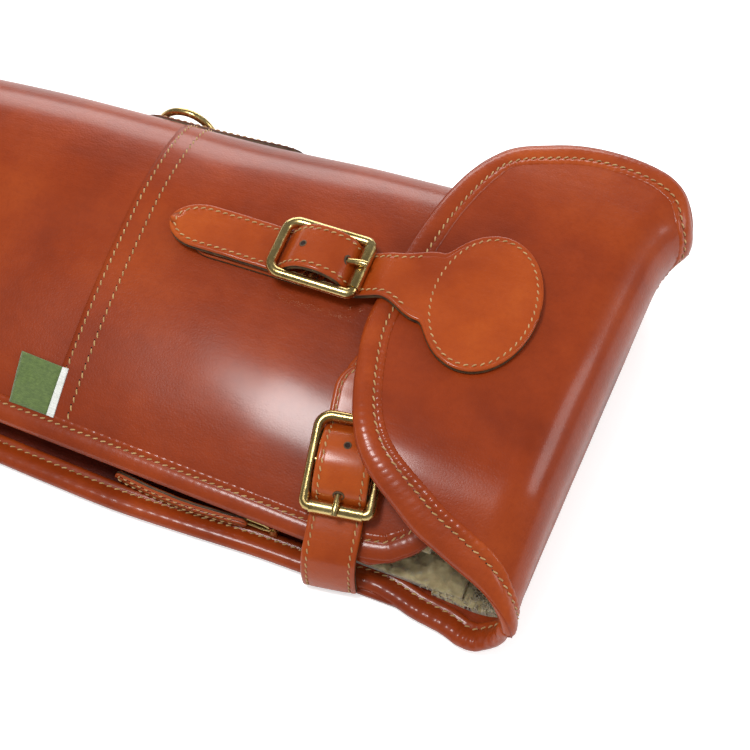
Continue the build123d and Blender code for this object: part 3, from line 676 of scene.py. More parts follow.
def stitches(name, points, normals, pitch=STITCH, radius=THREAD):
    """A row of slanted stitches along a line on a surface, each dipping into a needle hole painted dark
    as shade.
    """
    s = lengths(points)
    count = max(2, int(s[-1] // pitch))
    where = (np.arange(count) + 0.5) * s[-1] / count
    centre = at_lengths(points, where)
    n = unit(at_rows(normals, s, where))
    t = unit(at_rows(tangents(points), s, where))
    t = unit(t - n * np.sum(t * n, axis=1, keepdims=True))
    side = np.cross(n, t)
    verts, faces, index = [], [], []
    length = pitch * 0.36
    for c, nn, tt, ss in zip(centre, n, t, side):
        along = tt * math.cos(SLANT) + ss * math.sin(SLANT)
        across = np.cross(nn, along)
        first = len(verts)
        for share, lift, size in ARCH:
            for cos, sin in SIXTHS:
                ring = (cos * across + sin * nn) * radius * size
                verts.append(c + along * share * length + nn * lift + ring)
        for i in range(5):
            for k in range(6):
                a, b = first + i * 6 + k, first + i * 6 + (k + 1) % 6
                faces.append((a, b, b + 6, a + 6))
                index.append(0)
        faces.append(tuple(first + k for k in range(6)))
        faces.append(tuple(first + 30 + k for k in range(6)))
        index += [0, 0]
        # the needle hole: a small shallow cone in the near-black hole colour, which is painted shade
        hole = c + along * length * 1.18
        first = len(verts)
        verts += [hole + nn * 0.1, hole - nn * 0.4]
        verts += [hole + (cos * across + sin * along) * HOLE_RADIUS for cos, sin in SIXTHS]
        for k in range(6):
            a, b = first + 2 + k, first + 2 + (k + 1) % 6
            faces += [(first, a, b), (first + 1, b, a)]
            index += [1, 1]
    return piece(name, verts, faces, [THREAD_MATERIAL, HOLE_SHADE], index)


def at_rows(rows, s, where):
    """Rows given at the distances s, read at other distances."""
    return np.column_stack([np.interp(where, s, rows[:, k]) for k in range(rows.shape[1])])


def grid(rows, columns):
    """Two sets of evenly spaced numbers, each (first, last, count), as a grid."""
    return np.meshgrid(np.linspace(*rows), np.linspace(*columns), indexing="ij")


def surface_line(surface, places, lift):
    """Points and normals of a line of places on a surface."""
    places = spaced(np.asarray(places, float), 1.0)
    low_points = surface(places[:, 0], places[:, 1], lift)
    high_points = surface(places[:, 0], places[:, 1], np.asarray(lift) + np.sign(lift + 1e-6) * 1.0)
    return low_points, unit(high_points - low_points)


# ---- Leather parts on a surface ---------------------------------------------------------------------


def edging(name, surface, path, profile, pucker, side=1.0, pitch=STITCH):
    """Rolled leather over a sheet's edge. A profile point is (inwards, lift, share of the pucker)."""
    path = spaced(np.asarray(path, float), 1.3)
    t = tangents(path)
    inward = side * np.column_stack([-t[:, 1], t[:, 0]])
    s = lengths(path)
    amount = np.interp(s / s[-1], *zip(*pucker))
    wobble = np.array([noise.noise(Vector((v / 9.0, 3.7, 1.3))) for v in s])
    ripple = np.cos(2 * math.pi * s / pitch + 1.6 * wobble)
    rings = []
    for inwards, lift, share in profile:
        a = path[:, 0] + inward[:, 0] * inwards
        b = path[:, 1] + inward[:, 1] * inwards
        rings.append(surface(a, b, lift + share * amount * (ripple + 0.9 * wobble)))
    return loft(name, np.array(rings).transpose(1, 0, 2), ROLLED)


def rolled_edge(names, surface, path, profile, pucker, seam_lift, side=1.0, pitch=STITCH, **ties):
    """A rolled edge, and the row of stitches that holds it down."""
    stands_for = ties.pop("stands_for")
    made = edging(names[0], surface, path, profile, pucker, side=side, pitch=pitch)
    dress(made, "binding_leather", stands_for=stands_for, **ties)
    line = surface_line(surface, inset_line(path, ROLL_SEAM, side), seam_lift)
    dress(stitches(names[1], *line), "binding_leather", **ties)


def inset_line(path, distance, side):
    """The same path, moved inwards in the surface's own two directions."""
    path = spaced(np.asarray(path, float), 1.0)
    t = tangents(path)
    return path + side * distance * np.column_stack([-t[:, 1], t[:, 0]])


def patch(name, surface, outline, centre, lift, thickness, materials):
    """A flat piece of leather, sewn on: its burnished edge rounds over and its seam sinks in."""
    outline = spaced(np.vstack([outline, outline[:1]]), 1.2)[:-1]
    centre = np.asarray(centre, float)
    away = outline - centre
    reach = np.linalg.norm(away, axis=1, keepdims=True)
    away = away / reach
    top = lift + thickness
    rows = [(r, top, 0) for r in (0.25, 0.5, 0.75)]
    insets = ((4.6, top, 0), (3.4, top - 0.02, 0), (2.7, top - 0.28, 0), (2.0, top, 0), (1.0, top, 0))
    insets += ((0.35, top - 0.3, 0), (0.0, top - 0.8, 1), (0.0, lift + 0.4, 1))
    insets += ((0.3, lift, 1), (2.5, lift, 0))
    verts = [surface(centre[:1], centre[1:], top)[0]]
    for share, lifted, _ in rows:
        q = centre + away * (reach - 4.6) * share
        verts.extend(surface(q[:, 0], q[:, 1], lifted))
    for inset, lifted, _ in insets:
        q = centre + away * (reach - inset)
        verts.extend(surface(q[:, 0], q[:, 1], lifted))
    verts.append(surface(centre[:1], centre[1:], lift)[0])
    n, rings = len(outline), len(rows) + len(insets)
    faces, index = [], []
    for k in range(n):
        faces.append((0, 1 + k, 1 + (k + 1) % n))
        index.append(0)
    flags = [r[2] for r in (*rows, *insets)]
    for i in range(rings - 1):
        for k in range(n):
            a, b = 1 + i * n + k, 1 + i * n + (k + 1) % n
            faces.append((a, a + n, b + n, b))
            index.append(1 if flags[i] and flags[i + 1] else 0)
    base, last = 1 + (rings - 1) * n, 1 + rings * n
    for k in range(n):
        faces.append((base + (k + 1) % n, base + k, last))
        index.append(0)
    return piece(name, verts, faces, materials, index)


def slot_outline(centre, length, width, angle=0.0):
    """A long round-ended outline."""
    r = width / 2
    half = length / 2 - r
    a = np.linspace(-HALF_PI, HALF_PI, 15)
    right = np.column_stack([half + r * np.cos(a), r * np.sin(a)])
    points = np.vstack([right, -right])
    turn = math.radians(angle)
    c, s = math.cos(turn), math.sin(turn)
    return points @ np.array(((c, s), (-s, c))) + np.asarray(centre, float)


def strap_frame(path, across):
    """Across and out of a strap's face, at each point of its path."""
    t = tangents(path)
    w = unit(across - t * np.sum(across * t, axis=1, keepdims=True))
    n = np.cross(t, w)
    n = n * np.sign(np.sum(n[:, 2])) if abs(np.sum(n[:, 2])) > 1 else n
    return w, n


def strap(name, path, across, half_width, thickness, materials):
    """A stitched two-layer strap along a path. The half width may change along it, down to a point."""
    path = np.asarray(path, float)
    s = lengths(path)
    w, n = strap_frame(path, across)
    h = half_width(s)
    th = thickness / 2
    profile = [(0.0, th + 0.12, 0), (0.5, th + 0.1, 0)]
    insets = [(4.2, th, 0), (3.2, th - 0.05, 0), (2.6, th - 0.3, 0), (2.0, th - 0.02, 0), (1.0, th, 0)]
    insets += [(0.35, th - 0.3, 0), (0.0, th - 0.85, 1), (0.0, 0.25, 1), (0.35, 0.0, 1), (0.0, -0.25, 1)]
    insets += [(0.0, 0.8 - th, 1), (0.4, 0.25 - th, 0), (1.1, -th, 0)]
    columns = []
    flags = []
    wobble = ruffle(path, 6.0, 0.12)
    half = [(v, z, f, True) for v, z, f in profile] + [(v, z, f, False) for v, z, f in insets]
    for sign in (1, -1):
        for v, z, f, share in half if sign > 0 else reversed(half):
            if sign < 0 and share and v == 0.0:
                continue
            offset = v * h if share else np.maximum(h - v, h * (0.3 if v > 3 else 0.55) if v > 0 else h)
            columns.append(path + w * (sign * offset)[:, None] + n * (z + wobble)[:, None])
            flags.append(f)
    count = len(columns)
    which = [1 if flags[k] and flags[(k + 1) % count] else 0 for k in range(count)]
    return loft(name, np.array(columns).transpose(1, 0, 2), materials, which)


# ---- Body: two leather panels folded round the spine ------------------------------------------------

MOUTH_XS = on_body(MOUTH_EDGE)
mouth_line = curve(MOUTH_XS, 10)


def mouth_end(s):
    """Where the mouth section's leather stops: the front panel's edge, the spine, then the lower bend."""
    crown = np.interp(s, mouth_line[:, 1], mouth_line[:, 0])
    turned = np.clip((s - spine_s(-4.0)) / 40.0, 0, 1)
    y = np.clip(spine_y(0) - (s - spine_s(-4.0) - 20), BACK_Y, SPINE_Y)
    under = FOLD_X - (LOWER_BEND + UNDER) + y * math.tan(SKEW)
    return crown * (1 - turned) + under * turned


tail_y = (spine_y(TAIL_X), back_y(TAIL_X))
tail_path = [(TAIL_X + TAIL_CORNER + 8, tail_y[0] - 1), (TAIL_X + TAIL_CORNER - 12, tail_y[0] - 1.5)]
tail_path += [(TAIL_X + 12, tail_y[0] - 13), (TAIL_X - 2, tail_y[0] - TAIL_CORNER), (TAIL_X - 3, 0)]
tail_path += [(TAIL_X - 2, tail_y[1] + TAIL_CORNER), (TAIL_X + 11, tail_y[1] + 9)]
tail_path += [(TAIL_X + 36, tail_y[1] + 0.5)]
tail_path = curve(tail_path, 14)
PINCH = 55.0  # how far in from its sewn outline the closed end thins down
PINCH_Z = 8.0  # height of the plane that it's pressed together in
PINCHED = 0.10  # share of its height that is left there


def openness(x, y):
    """Share of its height that the case keeps: PINCHED on the closed end's outline, 1 away from it."""
    x, y = arrays(x, y)
    near = np.ones(x.shape)
    close = x < TAIL_X + PINCH + TAIL_CORNER + 10
    gap = np.hypot(x[close][:, None] - tail_path[None, :, 0], y[close][:, None] - tail_path[None, :, 1])
    inside = x[close] > np.interp(y[close], tail_path[::-1, 1], tail_path[::-1, 0])
    near[close] = np.clip(gap.min(axis=1) / PINCH, 0, 1) * inside
    return PINCHED + (1 - PINCHED) * np.sin(near * HALF_PI)


def shut_at(x, s, lift=0.0):
    """The outside of the body, pinched together at the closed end."""
    p = body_at(x, s, lift)
    p[..., 2] = PINCH_Z + (p[..., 2] - PINCH_Z) * openness(p[..., 0], p[..., 1])
    return p


def tail_start(share):
    """Where the tail's leather stops: just inside the closed end's rounded outline."""
    y = body_raw(TAIL_X, share * total_s(TAIL_X))[..., 1]
    return np.interp(y, tail_path[::-1, 1], tail_path[::-1, 0]) + 3.0


def panel(name, surface, start, end, rows, lift):
    """A sheet of the body between two lines across it, given by their share of the section's length."""
    shares = np.linspace(0, 1, 150)
    f = np.linspace(0, 1, rows)[:, None]
    x = start(shares) * (1 - f) + end(shares) * f
    s = shares * total_s(x)
    return sheet(name, surface, x, s, lift, LEATHER, TAN)


def mouth_stop(share):
    return mouth_end(share * total_s(SEAM_X - SEAM_LAP / 2))


def level(value):
    """The same value all along: a line straight across a panel, or a strap of even width."""
    return lambda where: np.full_like(where, value)


tail = panel("tail_panel", shut_at, tail_start, level(SEAM_X + SEAM_LAP), 110, -0.2)
dress(tail, "tan_leather", stands_for=("tail_leather",))
mouth = panel("mouth_panel", body_at, level(SEAM_X - SEAM_LAP), mouth_stop, 84, 0.35)
dress(mouth, "tan_leather", stands_for=("mouth_leather",))

# Two rows of stitches down the seam, over the spine and under the case
for k, offset in enumerate((-4.2, 4.2)):
    s_line = np.linspace(12, spine_s(SEAM_X) + 40, 200)
    places = np.column_stack([SEAM_X + offset + 0 * s_line, s_line])
    rows = surface_line(body_at, places, 0.35)
    dress(stitches(f"seam_stitches_{k}", *rows), "tan_leather")

# ---- Rolled edges of the panels ---------------------------------------------------------------------

ROLL = (
    (12.8, -0.05, 0.0), (12.0, 0.5, 0.5), (10.8, 0.75, 0.6), (9.8, 0.4, 0.3), (9.0, 0.1, 0.0),
    (8.2, 0.55, 0.0), (6.5, 1.15, 0.1), (4.0, 1.35, 0.15), (1.6, 1.0, 0.1), (0.2, -0.2, 0.0),
    (-0.4, -2.0, 0.0), (0.1, -3.8, 0.0), (1.6, -5.0, 0.0), (4.5, -5.4, 0.0), (8.2, -5.2, 0.1),
    (9.0, -4.9, 0.0), (11.5, -5.2, 0.2), (12.8, -4.4, 0.0),
)

# Along the zip's front edge, round the corner, and up the mouth to the spine
rim_path = [(-506, 4.0)] + [(x, 0.0) for x in (-484, -450, -420, -340, -260, -180, -110, -70, -52)]
rim_path += [(x - 1.0, s) for x, s in mouth_line[6::6]]
rim_path += [(-4.0, spine_s(-4.0) - 6.0), (-6.0, spine_s(-4.0) + 10.0)]
rim_path = curve(rim_path, 8)
front_pucker = ((0.0, 0.2), (0.25, 0.3), (0.5, 0.4), (0.62, 0.6), (0.75, 0.4), (1.0, 0.2))
names = ("front_rim", "front_rim_stitches")
nodes = ("front_rim_binding", "mouth_binding")
rolled_edge(names, shut_at, rim_path, ROLL, front_pucker, 0.25, stands_for=nodes)

BACK_ROLL = (
    (12.8, -1.0, 0.0), (9.0, -0.4, 0.0), (5.0, 0.6, 0.0), (1.6, 0.4, 0.0), (0.2, -0.4, 0.1),
    (-0.4, -2.0, 0.4), (0.1, -3.8, 0.7), (1.6, -5.1, 1.0), (3.2, -5.6, 1.0), (5.0, -5.6, 0.8),
    (7.2, -5.2, 0.3), (8.6, -4.5, 0.1), (9.0, -4.3, 0.0), (9.4, -4.5, 0.1), (11.0, -4.9, 0.2),
    (12.3, -4.6, 0.0), (12.8, -3.6, 0.0),
)


def under_place(x, y):
    """A plan place under the case, as (along, round) on the flap's surface."""
    a, d = from_fold(x, y)
    return a, d + LOWER_BEND + UNDER


def floor_at(a, u, lift=0.0):
    """The flap's surface run on under the case, flatter and then rising towards the closed end."""
    p = flap_at(a, u, lift)
    p[..., 2] *= 1 - 0.28 * np.clip((-190 - p[..., 0]) / 130, 0, 1)
    p[..., 2] += 0.85 * PINCH_Z * (1 - openness(p[..., 0], p[..., 1]))
    return p


# The back panel's roll carries on round the lower bend and up the end wall
back_xs = (-490, -420, -350, -290, -240, -200, -165, -130, -95, -60)
back_plan = [(x, back_y(x) - BOW * math.exp(-(((x - BOW_X) / BOW_REACH) ** 2))) for x in back_xs]
back_plan = [(-508, back_y(-508) + 6.0)] + back_plan + [(-40, -103.4), (-28, -105.2), (-16, -108.6)]
back_path = [under_place(x, y) for x, y in back_plan]
back_path += [(-113.4, 10.0), (-115.6, 19.0), (-116.0, 28.0), (-113.6, 37.0)]
back_path += [(WALL_NEAR, float(wall_middle(WALL_NEAR)) + 3.0)]
back_path = curve(back_path, 10)
back_pucker = ((0.0, 0.05), (0.82, 0.06), (0.9, 0.25), (0.94, 0.45), (0.97, 0.5), (1.0, 0.3))
names = ("back_rim", "back_rim_stitches")
ties = {"blends": LOWER_BLEND, "stands_for": ("back_rim_binding",)}
rolled_edge(names, floor_at, back_path, BACK_ROLL, back_pucker, -4.4, side=-1.0, pitch=6.3, **ties)


def tail_at(x, y, lift=0.0):
    """The plane that the closed end is pressed together in."""
    x, y, lift = arrays(x, y, lift)
    z = PINCH_Z + lift + ruffle(np.stack([x, y, 0 * x], -1), 24.0, 0.5)
    return np.stack([x, y, z], -1)


TAIL_ROLL = (
    (11.0, 2.4, 0.1), (10.0, 3.3, 0.4), (9.0, 2.9, 0.0), (8.0, 3.4, 0.2), (4.0, 3.6, 0.5),
    (1.0, 2.4, 0.5), (0.0, 0.0, 0.2), (1.0, -2.4, 0.0), (4.0, -3.6, 0.0), (9.0, -3.4, 0.0),
    (11.0, -2.4, 0.0),
)
names = ("tail_edge", "tail_stitches")
tail_pucker = ((0, 0.3), (0.5, 0.2), (1, 0.4))
nodes = ("tail_binding",)
rolled_edge(names, tail_at, tail_path, TAIL_ROLL, tail_pucker, 2.9, stands_for=nodes)

# ---- End wall and flap: one piece of leather, bent twice --------------------------------------------


def wall_grid(rows, columns):
    """Places on the sheet from under the case to part way up the end wall."""
    share = np.linspace(0, 1, columns)
    a = np.empty((rows, columns))
    u = np.empty((rows, columns))
    for i, f in enumerate(np.linspace(0, 1, rows)):
        start_near, start_far = -106.5, 98.0
        near = start_near + (WALL_NEAR - start_near) * min(1.0, f * 1.4)
        far = start_far + (WALL_FAR - start_far) * f
        a[i] = near + (far - near) * share
        u[i] = wall_middle(a[i]) * f
    return a, u


def flap_grid(rows, columns):
    """Places on the sheet from part way up the end wall to the flap's free edge."""
    edge = spaced(EDGE_AU, 2.0)
    edge = at_lengths(edge, np.linspace(0, lengths(edge)[-1], columns))
    base_a = np.linspace(WALL_NEAR, WALL_FAR, columns)
    base = np.column_stack([base_a, wall_middle(base_a)])
    f = np.linspace(0, 1, rows)[:, None, None]
    places = base[None] * (1 - f) + edge[None] * f
    return places[..., 0], places[..., 1]


wall_a, wall_u = wall_grid(46, 110)
wall = sheet("end_wall_sheet", flap_at, wall_a, wall_u, 0.0, LEATHER, TAN)
dress(wall, "tan_leather", blends=LOWER_BLEND, stands_for=("end_wall_leather",))
flap_a, flap_u = flap_grid(80, 190)
flap = sheet("flap_sheet", flap_at, flap_a, flap_u, 0.0, LEATHER, TAN)
dress(flap, "tan_leather", blends=UPPER_BLEND, stands_for=("flap_leather",))

# The flap's rolled edge, from part way up the wall, round the tongue and down again
flap_path = np.vstack([SIDE_NEAR[:1], EDGE_AU, SIDE_FAR[1:]])
flap_path = curve(spaced(flap_path, 6.0), 5)
flap_pucker = ((0.0, 0.3), (0.12, 0.5), (0.2, 0.85), (0.36, 0.9), (0.45, 0.35), (0.6, 0.25), (0.75, 0.6))
flap_pucker += ((1.0, 0.4),)
names = ("flap_edge", "flap_stitches")
ties = {"blends": UPPER_BLEND, "stands_for": ("flap_binding", "end_wall_binding")}
rolled_edge(names, flap_at, flap_path, ROLL, flap_pucker, 0.3, side=-1.0, **ties)

# At the far corner the wall's side edge is rolled too
far_path = [(98.0, 0.0), (99.5, 20.0), (101.0, 36.0), (WALL_FAR, float(wall_middle(WALL_FAR)) + 3.0)]
far_roll = edging("far_corner_roll", flap_at, curve(far_path, 10), ROLL, ((0, 0.4), (1, 0.4)))
dress(far_roll, "binding_leather", blends=LOWER_BLEND)

# ---- Fleece -----------------------------------------------------------------------------------------


def shaggy(points, normals):
    """Pile: lumpy locks, with fine curls on them."""
    lift = ruffle(points, 7.0, 1.6) + ruffle(points + 31.0, 2.6, 1.2) + ruffle(points + 77.0, 1.1, 0.5)
    return points + normals * lift[..., None]


def fleece_sheet(name, surface, a, b, depth, thickness):
    """A lining whose inner face is pile."""
    outer = surface(a, b, -depth)
    inner = surface(a, b, -depth - thickness)
    inner = shaggy(inner, unit(inner - outer))
    return slab(name, outer, inner, FLEECE)


def curls(name, surface, a_range, b_range, count, lift, seed):
    """Loose curled locks standing on the pile, where it can be looked into."""
    random = np.random.default_rng(seed)
    a = random.uniform(*a_range, count)
    b = random.uniform(*b_range, count)
    base = surface(a, b, lift)
    tip = surface(a, b, lift - 1.0)
    n = unit(tip - base)
    verts, faces = [], []
    steps = 6
    for p, nn in zip(base, n):
        heading = unit(np.cross(nn, random.normal(size=3)))
        side = np.cross(nn, heading)
        size = random.uniform(0.9, 1.7)
        first = len(verts)
        for i in range(steps):
            angle = math.pi * 1.3 * i / (steps - 1)
            ahead = heading * size * (1 - math.cos(angle)) * 0.8
            centre = p + nn * (0.2 + size * math.sin(angle)) + ahead
            thick = size * (0.42 - 0.05 * i)
            for q in (k * HALF_PI for k in range(4)):
                out = (nn * math.cos(angle) + heading) * 0.5
                verts.append(centre + (side * math.cos(q) + out * math.sin(q)) * thick)
        for i in range(steps - 1):
            for k in range(4):
                c, d = first + i * 4 + k, first + i * 4 + (k + 1) % 4
                faces.append((c, d, d + 4, c + 4))
        faces.append(tuple(first + k for k in range(4)))
        faces.append(tuple(first + (steps - 1) * 4 + k for k in range(4)))
    return piece(name, verts, faces, FLEECE)


def lining_grid(rows, columns):
    """The pocket's lining: from behind the zip, round the spine, and most of the way back below."""
    share = np.linspace(0, 1, columns)
    x = np.empty((rows, columns))
    s = np.empty((rows, columns))
    for i, f in enumerate(np.linspace(0, 1, rows)):
        x[i] = TAIL_X + 48 + (-16 - TAIL_X - 48) * f
        gap = front_y(x[i][0]) - back_y(x[i][0])
        start, stop = 14.0, total_s(x[i][0]) - 14.0 - gap
        s[i] = start + (stop - start) * share
    return x, s


lining_x, lining_s = lining_grid(150, 150)
lining = fleece_sheet("pocket_fleece", shut_at, lining_x, lining_s, LINED, 4.6)
dress(lining, "fleece", stands_for=("fleece_lining",))


def flat_at(x, y, lift=0.0):
    """Inside face of the back panel."""
    x, y, lift = arrays(x, y, lift)
    z = 3.2 + lift + ruffle(np.stack([x, y, 0 * x], -1), 30.0, 0.3)
    return np.stack([x, y, np.maximum(z, 0.05)], -1)


facing_x, facing_share = grid((-476, -52, 90), (0, 1, 10))
facing_y = back_y(facing_x) + 7.0 + (front_y(facing_x) + 14.0 - back_y(facing_x) - 7.0) * facing_share
facing = sheet("zip_facing", flat_at, facing_x, facing_y, 0.1, 1.0, INNER)
dress(facing, "tan_leather")
floor_x, floor_s = grid((-70, 3, 74), (-10, 85, 100))
floor_s = total_s(floor_x) - 12.0 - 85.0 + floor_s
mouth_fleece = fleece_sheet("mouth_floor_fleece", body_at, floor_x, floor_s, LEATHER + 1.0, 5.0)
dress(mouth_fleece, "fleece")
inner_a, inner_u = wall_grid(90, 170)
inner_a = np.clip(inner_a, -99.0, 98.0)
wall_fleece = fleece_sheet("wall_fleece", flap_at, inner_a, inner_u, LINED, 3.6)
dress(wall_fleece, "fleece", blends=LOWER_BLEND, stands_for=("end_wall_lining",))
under_a, under_u = flap_grid(80, 150)
under_a = under_a * 0.90  # the lining stops short of the rolled edge
under_u = under_u[:1] + (under_u - under_u[:1]) * 0.93
flap_fleece = fleece_sheet("flap_fleece", flap_at, under_a, under_u, LINED, 2.0)
dress(flap_fleece, "fleece", blends=UPPER_BLEND, stands_for=("flap_lining",))
near_curls = curls("corner_curls", flap_at, (-98.0, -10.0), (-6.0, 44.0), 1500, -LEATHER - 3.2, 5)
dress(near_curls, "fleece", blends=LOWER_BLEND)

# ---- Straps and the leather that holds the buckles --------------------------------------------------

STRAP_LEATHER = [STRAP_TAN, EDGE]
STRAP_HALF = 12.4
STRAP_THICK = 3.8
STRAP_STITCH = 3.7
STRAP_THREAD = 0.34
SEAM_INSET = 2.7  # of a strap's stitches from its edge
SEAM_LIFT = STRAP_THICK / 2 - 0.25
X_AXIS, Y_AXIS = np.array((1.0, 0, 0)), np.array((0, 1.0, 0))
SIDE_TILT, SIDE_YAW = math.radians(22), math.radians(8)
FRONT_BUCKLE = (middle("front_buckle_frame"), X_AXIS, Y_AXIS, UP)
YAWED = np.array((math.sin(SIDE_YAW), -math.cos(SIDE_YAW), 0.0))
side_up = YAWED * math.sin(SIDE_TILT) + UP * math.cos(SIDE_TILT)
side_down = YAWED * math.cos(SIDE_TILT) - UP * math.sin(SIDE_TILT)
SIDE_BUCKLE = (middle("side_buckle_frame"), side_down, np.cross(side_up, side_down), side_up)

# Along a strap through a buckle: under the roller, over the centre bar, under the far bar
THROUGH = (
    (20.5, -5.35), (17.3, -4.3), (14.8, -0.9), (12.0, 2.8), (6.0, 5.6), (0.0, 6.3), (-7.0, 5.0),
    (-12.3, 1.2), (-15.0, -2.4), (-17.8, -4.8), (-22.5, -5.3),
)


def in_buckle(buckle, places):
    origin, ahead, across, above = buckle
    return np.array([origin + ahead * x + above * z for x, z in places])


def strap_stations(length, head, tip):
    """Distances along a strap, closer together where its two ends round off."""
    first = head * (1 - np.cos(np.linspace(0.06, HALF_PI, 26)))
    last = length - tip * (1 - np.cos(np.linspace(HALF_PI, 0.06, 26)))
    middle_part = np.arange(head + 1.2, length - tip - 1.0, 1.2)
    return np.concatenate([first, middle_part, last])


def tip_width(s, length, tip, half):
    """A strap's half width, rounding off over its tip."""
    share = np.clip((s - (length - tip)) / tip, 0, 0.999)
    return half * (1 - share**2.1) ** 0.52


def seam_on_strap(name, path, across, half_width, start, inset=SEAM_INSET, lift=SEAM_LIFT):
    """Stitches along both edges of a strap, and round its tip."""
    s = lengths(path)
    mine = (s >= start) & (s <= s[-1] - 0.25)
    h = half_width(s[mine])
    there = np.column_stack([s[mine], h])
    back_again = np.column_stack([s[mine], -h])[::-1]
    line = spaced(np.vstack([there, back_again]), 0.8)
    t = tangents(line)
    line = line + inset * np.column_stack([t[:, 1], -t[:, 0]])
    w, n = strap_frame(path, across)
    here = at_rows(path, s, line[:, 0])
    ww = at_rows(w, s, line[:, 0])
    nn = unit(at_rows(n, s, line[:, 0]))
    points = here + ww * line[:, 1:] + nn * lift
    return stitches(f"{name}_0", points, nn, pitch=STRAP_STITCH, radius=STRAP_THREAD)


def punched(name, place, normal, radius):
    """A punched hole: a well painted dark as shade, with a pressed rim."""
    n = unit(normal)
    a = unit(np.cross(n, X_AXIS + 0.3))
    b = np.cross(n, a)
    rings = []
    angle = np.linspace(0, 2 * math.pi, 18, endpoint=False)[:, None]
    for share, z in ((1.5, -0.3), (1.45, 0.12), (1.1, 0.2), (1.0, 0.02), (0.2, -0.05)):
        rings.append(place + (a * np.cos(angle) + b * np.sin(angle)) * (radius * share) + n * z)
    made = loft(name, rings, [EDGE, HOLE_SHADE])
    # faces inside the hole's radius take the hole's painted shade
    for face in made.data.polygons:
        centre = np.array(face.center) / MM
        face.material_index = 1 if np.linalg.norm(centre - place) < radius * 1.02 else 0
    return made


# A hole in a threaded strap: its place in the buckle, how the leather slopes there, and its radius
SPARE_HOLE = ((-7.6, 4.9), (-0.35, 0.94), 1.25)
PRONG_HOLE = ((12.6, 2.2), (0.8, 0.6), 1.9)


def hole_in_strap(name, buckle, hole, body):
    place, (ahead, above), radius = hole
    normal = buckle[1] * ahead + buckle[3] * above
    spot = in_buckle(buckle, (place,))[0] + normal * STRAP_THICK / 2
    dress(punched(name, spot, normal, radius), "strap_leather", rides=body)


DISC_X, DISC_Y = -28.0, middle("front_buckle_frame")[1]
DISC_LONG, DISC_WIDE = 26.0, 37.5
DISC_Z = FLAP_TOP + STRAP_THICK / 2 + 1.0
over_flap = [(DISC_X + DISC_LONG, 0.0), (-15, 0.1), (-28, 0.2), (-38, 0.2), (-46, 0.1), (-54, 0)]
over_flap += [(-62, 0.1), (-69, 0.4), (-74.5, -0.3), (-79.5, -3.2)]
closure_places = [np.array((x, DISC_Y, DISC_Z + rise)) for x, rise in over_flap]
closure_through = (*THROUGH, (-33, -5.2), (-45, -5.0), (-58, -5.2), (-67, -5.6), (-76, -6.2))
closure_places += list(in_buckle(FRONT_BUCKLE, closure_through))
closure_curve = curve(closure_places, 14)
CLOSURE_LENGTH = lengths(closure_curve)[-1]
closure = at_lengths(closure_curve, strap_stations(CLOSURE_LENGTH, DISC_LONG, 18.0))


def closure_half(s):
    """Half the closure strap's width: an oval disc, a flared neck, then a straight strap and a tip."""
    x = DISC_X + DISC_LONG - s
    off = x - DISC_X
    oval = DISC_WIDE * np.sqrt(np.clip(1 - (off / DISC_LONG) ** 2, 0.0008, 1))
    oval = oval * (np.abs(off) <= DISC_LONG)
    neck = STRAP_HALF + 7.0 * eased(np.clip((x + 74) / 20, 0, 1))
    neck = np.where(x > DISC_X - 10, 0.0, neck)
    mixed = (oval**6 + neck**6) ** (1 / 6)
    return np.maximum(mixed * tip_width(s, CLOSURE_LENGTH, 18.0, 1.0), 0.8)


closure_strap = strap("closure_strap_piece", closure, Y_AXIS, closure_half, STRAP_THICK, STRAP_LEATHER)
dress(closure_strap, "strap_leather", rides="flap", stands_for=("closure_strap",))
closure_seam = seam_on_strap("closure_stitches", closure, Y_AXIS, closure_half, 60.0)
dress(closure_seam, "strap_leather", rides="flap")
angle = np.linspace(0, 2 * math.pi, 200)
ring_s = DISC_LONG - (DISC_LONG - SEAM_INSET) * np.cos(angle)
ring = at_lengths(closure, ring_s) + (DISC_WIDE - SEAM_INSET) * np.sin(angle)[:, None] * Y_AXIS
ring = ring + UP * SEAM_LIFT
disc_seam = stitches("disc_stitches", ring, np.tile(UP, (200, 1)), STRAP_STITCH, STRAP_THREAD)
dress(disc_seam, "strap_leather", rides="flap")
hole_in_strap("closure_hole", FRONT_BUCKLE, SPARE_HOLE, "flap")
hole_in_strap("closure_prong_hole", FRONT_BUCKLE, PRONG_HOLE, "flap")

side_places = [(-55.8, -106.6, 2.0), (-55.8, -107.4, 5.0), (-56.2, -107.3, 11.0), (-57.0, -105.4, 18.5)]
side_places += [(-57.8, -101.4, 24.6)]
side_through = ((32, -5.5), (26, -5.4), *THROUGH, (-31, -6.2), (-40, -7.2), (-47, -8.2))
side_places += list(in_buckle(SIDE_BUCKLE, side_through))
side_curve = curve(side_places, 14)
SIDE_LENGTH = lengths(side_curve)[-1]
side = at_lengths(side_curve, strap_stations(SIDE_LENGTH, 3.0, 14.0))


def side_half(s):
    return np.maximum(STRAP_HALF * tip_width(s, SIDE_LENGTH, 14.0, 1.0), 1.0)


side_strap = strap("side_strap_piece", side, SIDE_BUCKLE[2], side_half, STRAP_THICK, STRAP_LEATHER)
dress(side_strap, "strap_leather", rides="side_strap", stands_for=("side_strap",))
side_seam = seam_on_strap("side_stitches", side, SIDE_BUCKLE[2], side_half, 2.0)
dress(side_seam, "strap_leather", rides="side_strap")
hole_in_strap("side_prong_hole", SIDE_BUCKLE, PRONG_HOLE, "side_strap")
hole_in_strap("side_hole", SIDE_BUCKLE, SPARE_HOLE, "side_strap")


def plan_at(x, y, lift=0.0):
    """A place on the front panel, by its plan."""
    x, y = arrays(x, y)
    s = np.array([s_of(a, b) for a, b in zip(x.ravel(), y.ravel())]).reshape(x.shape)
    return body_at(x, s, lift)


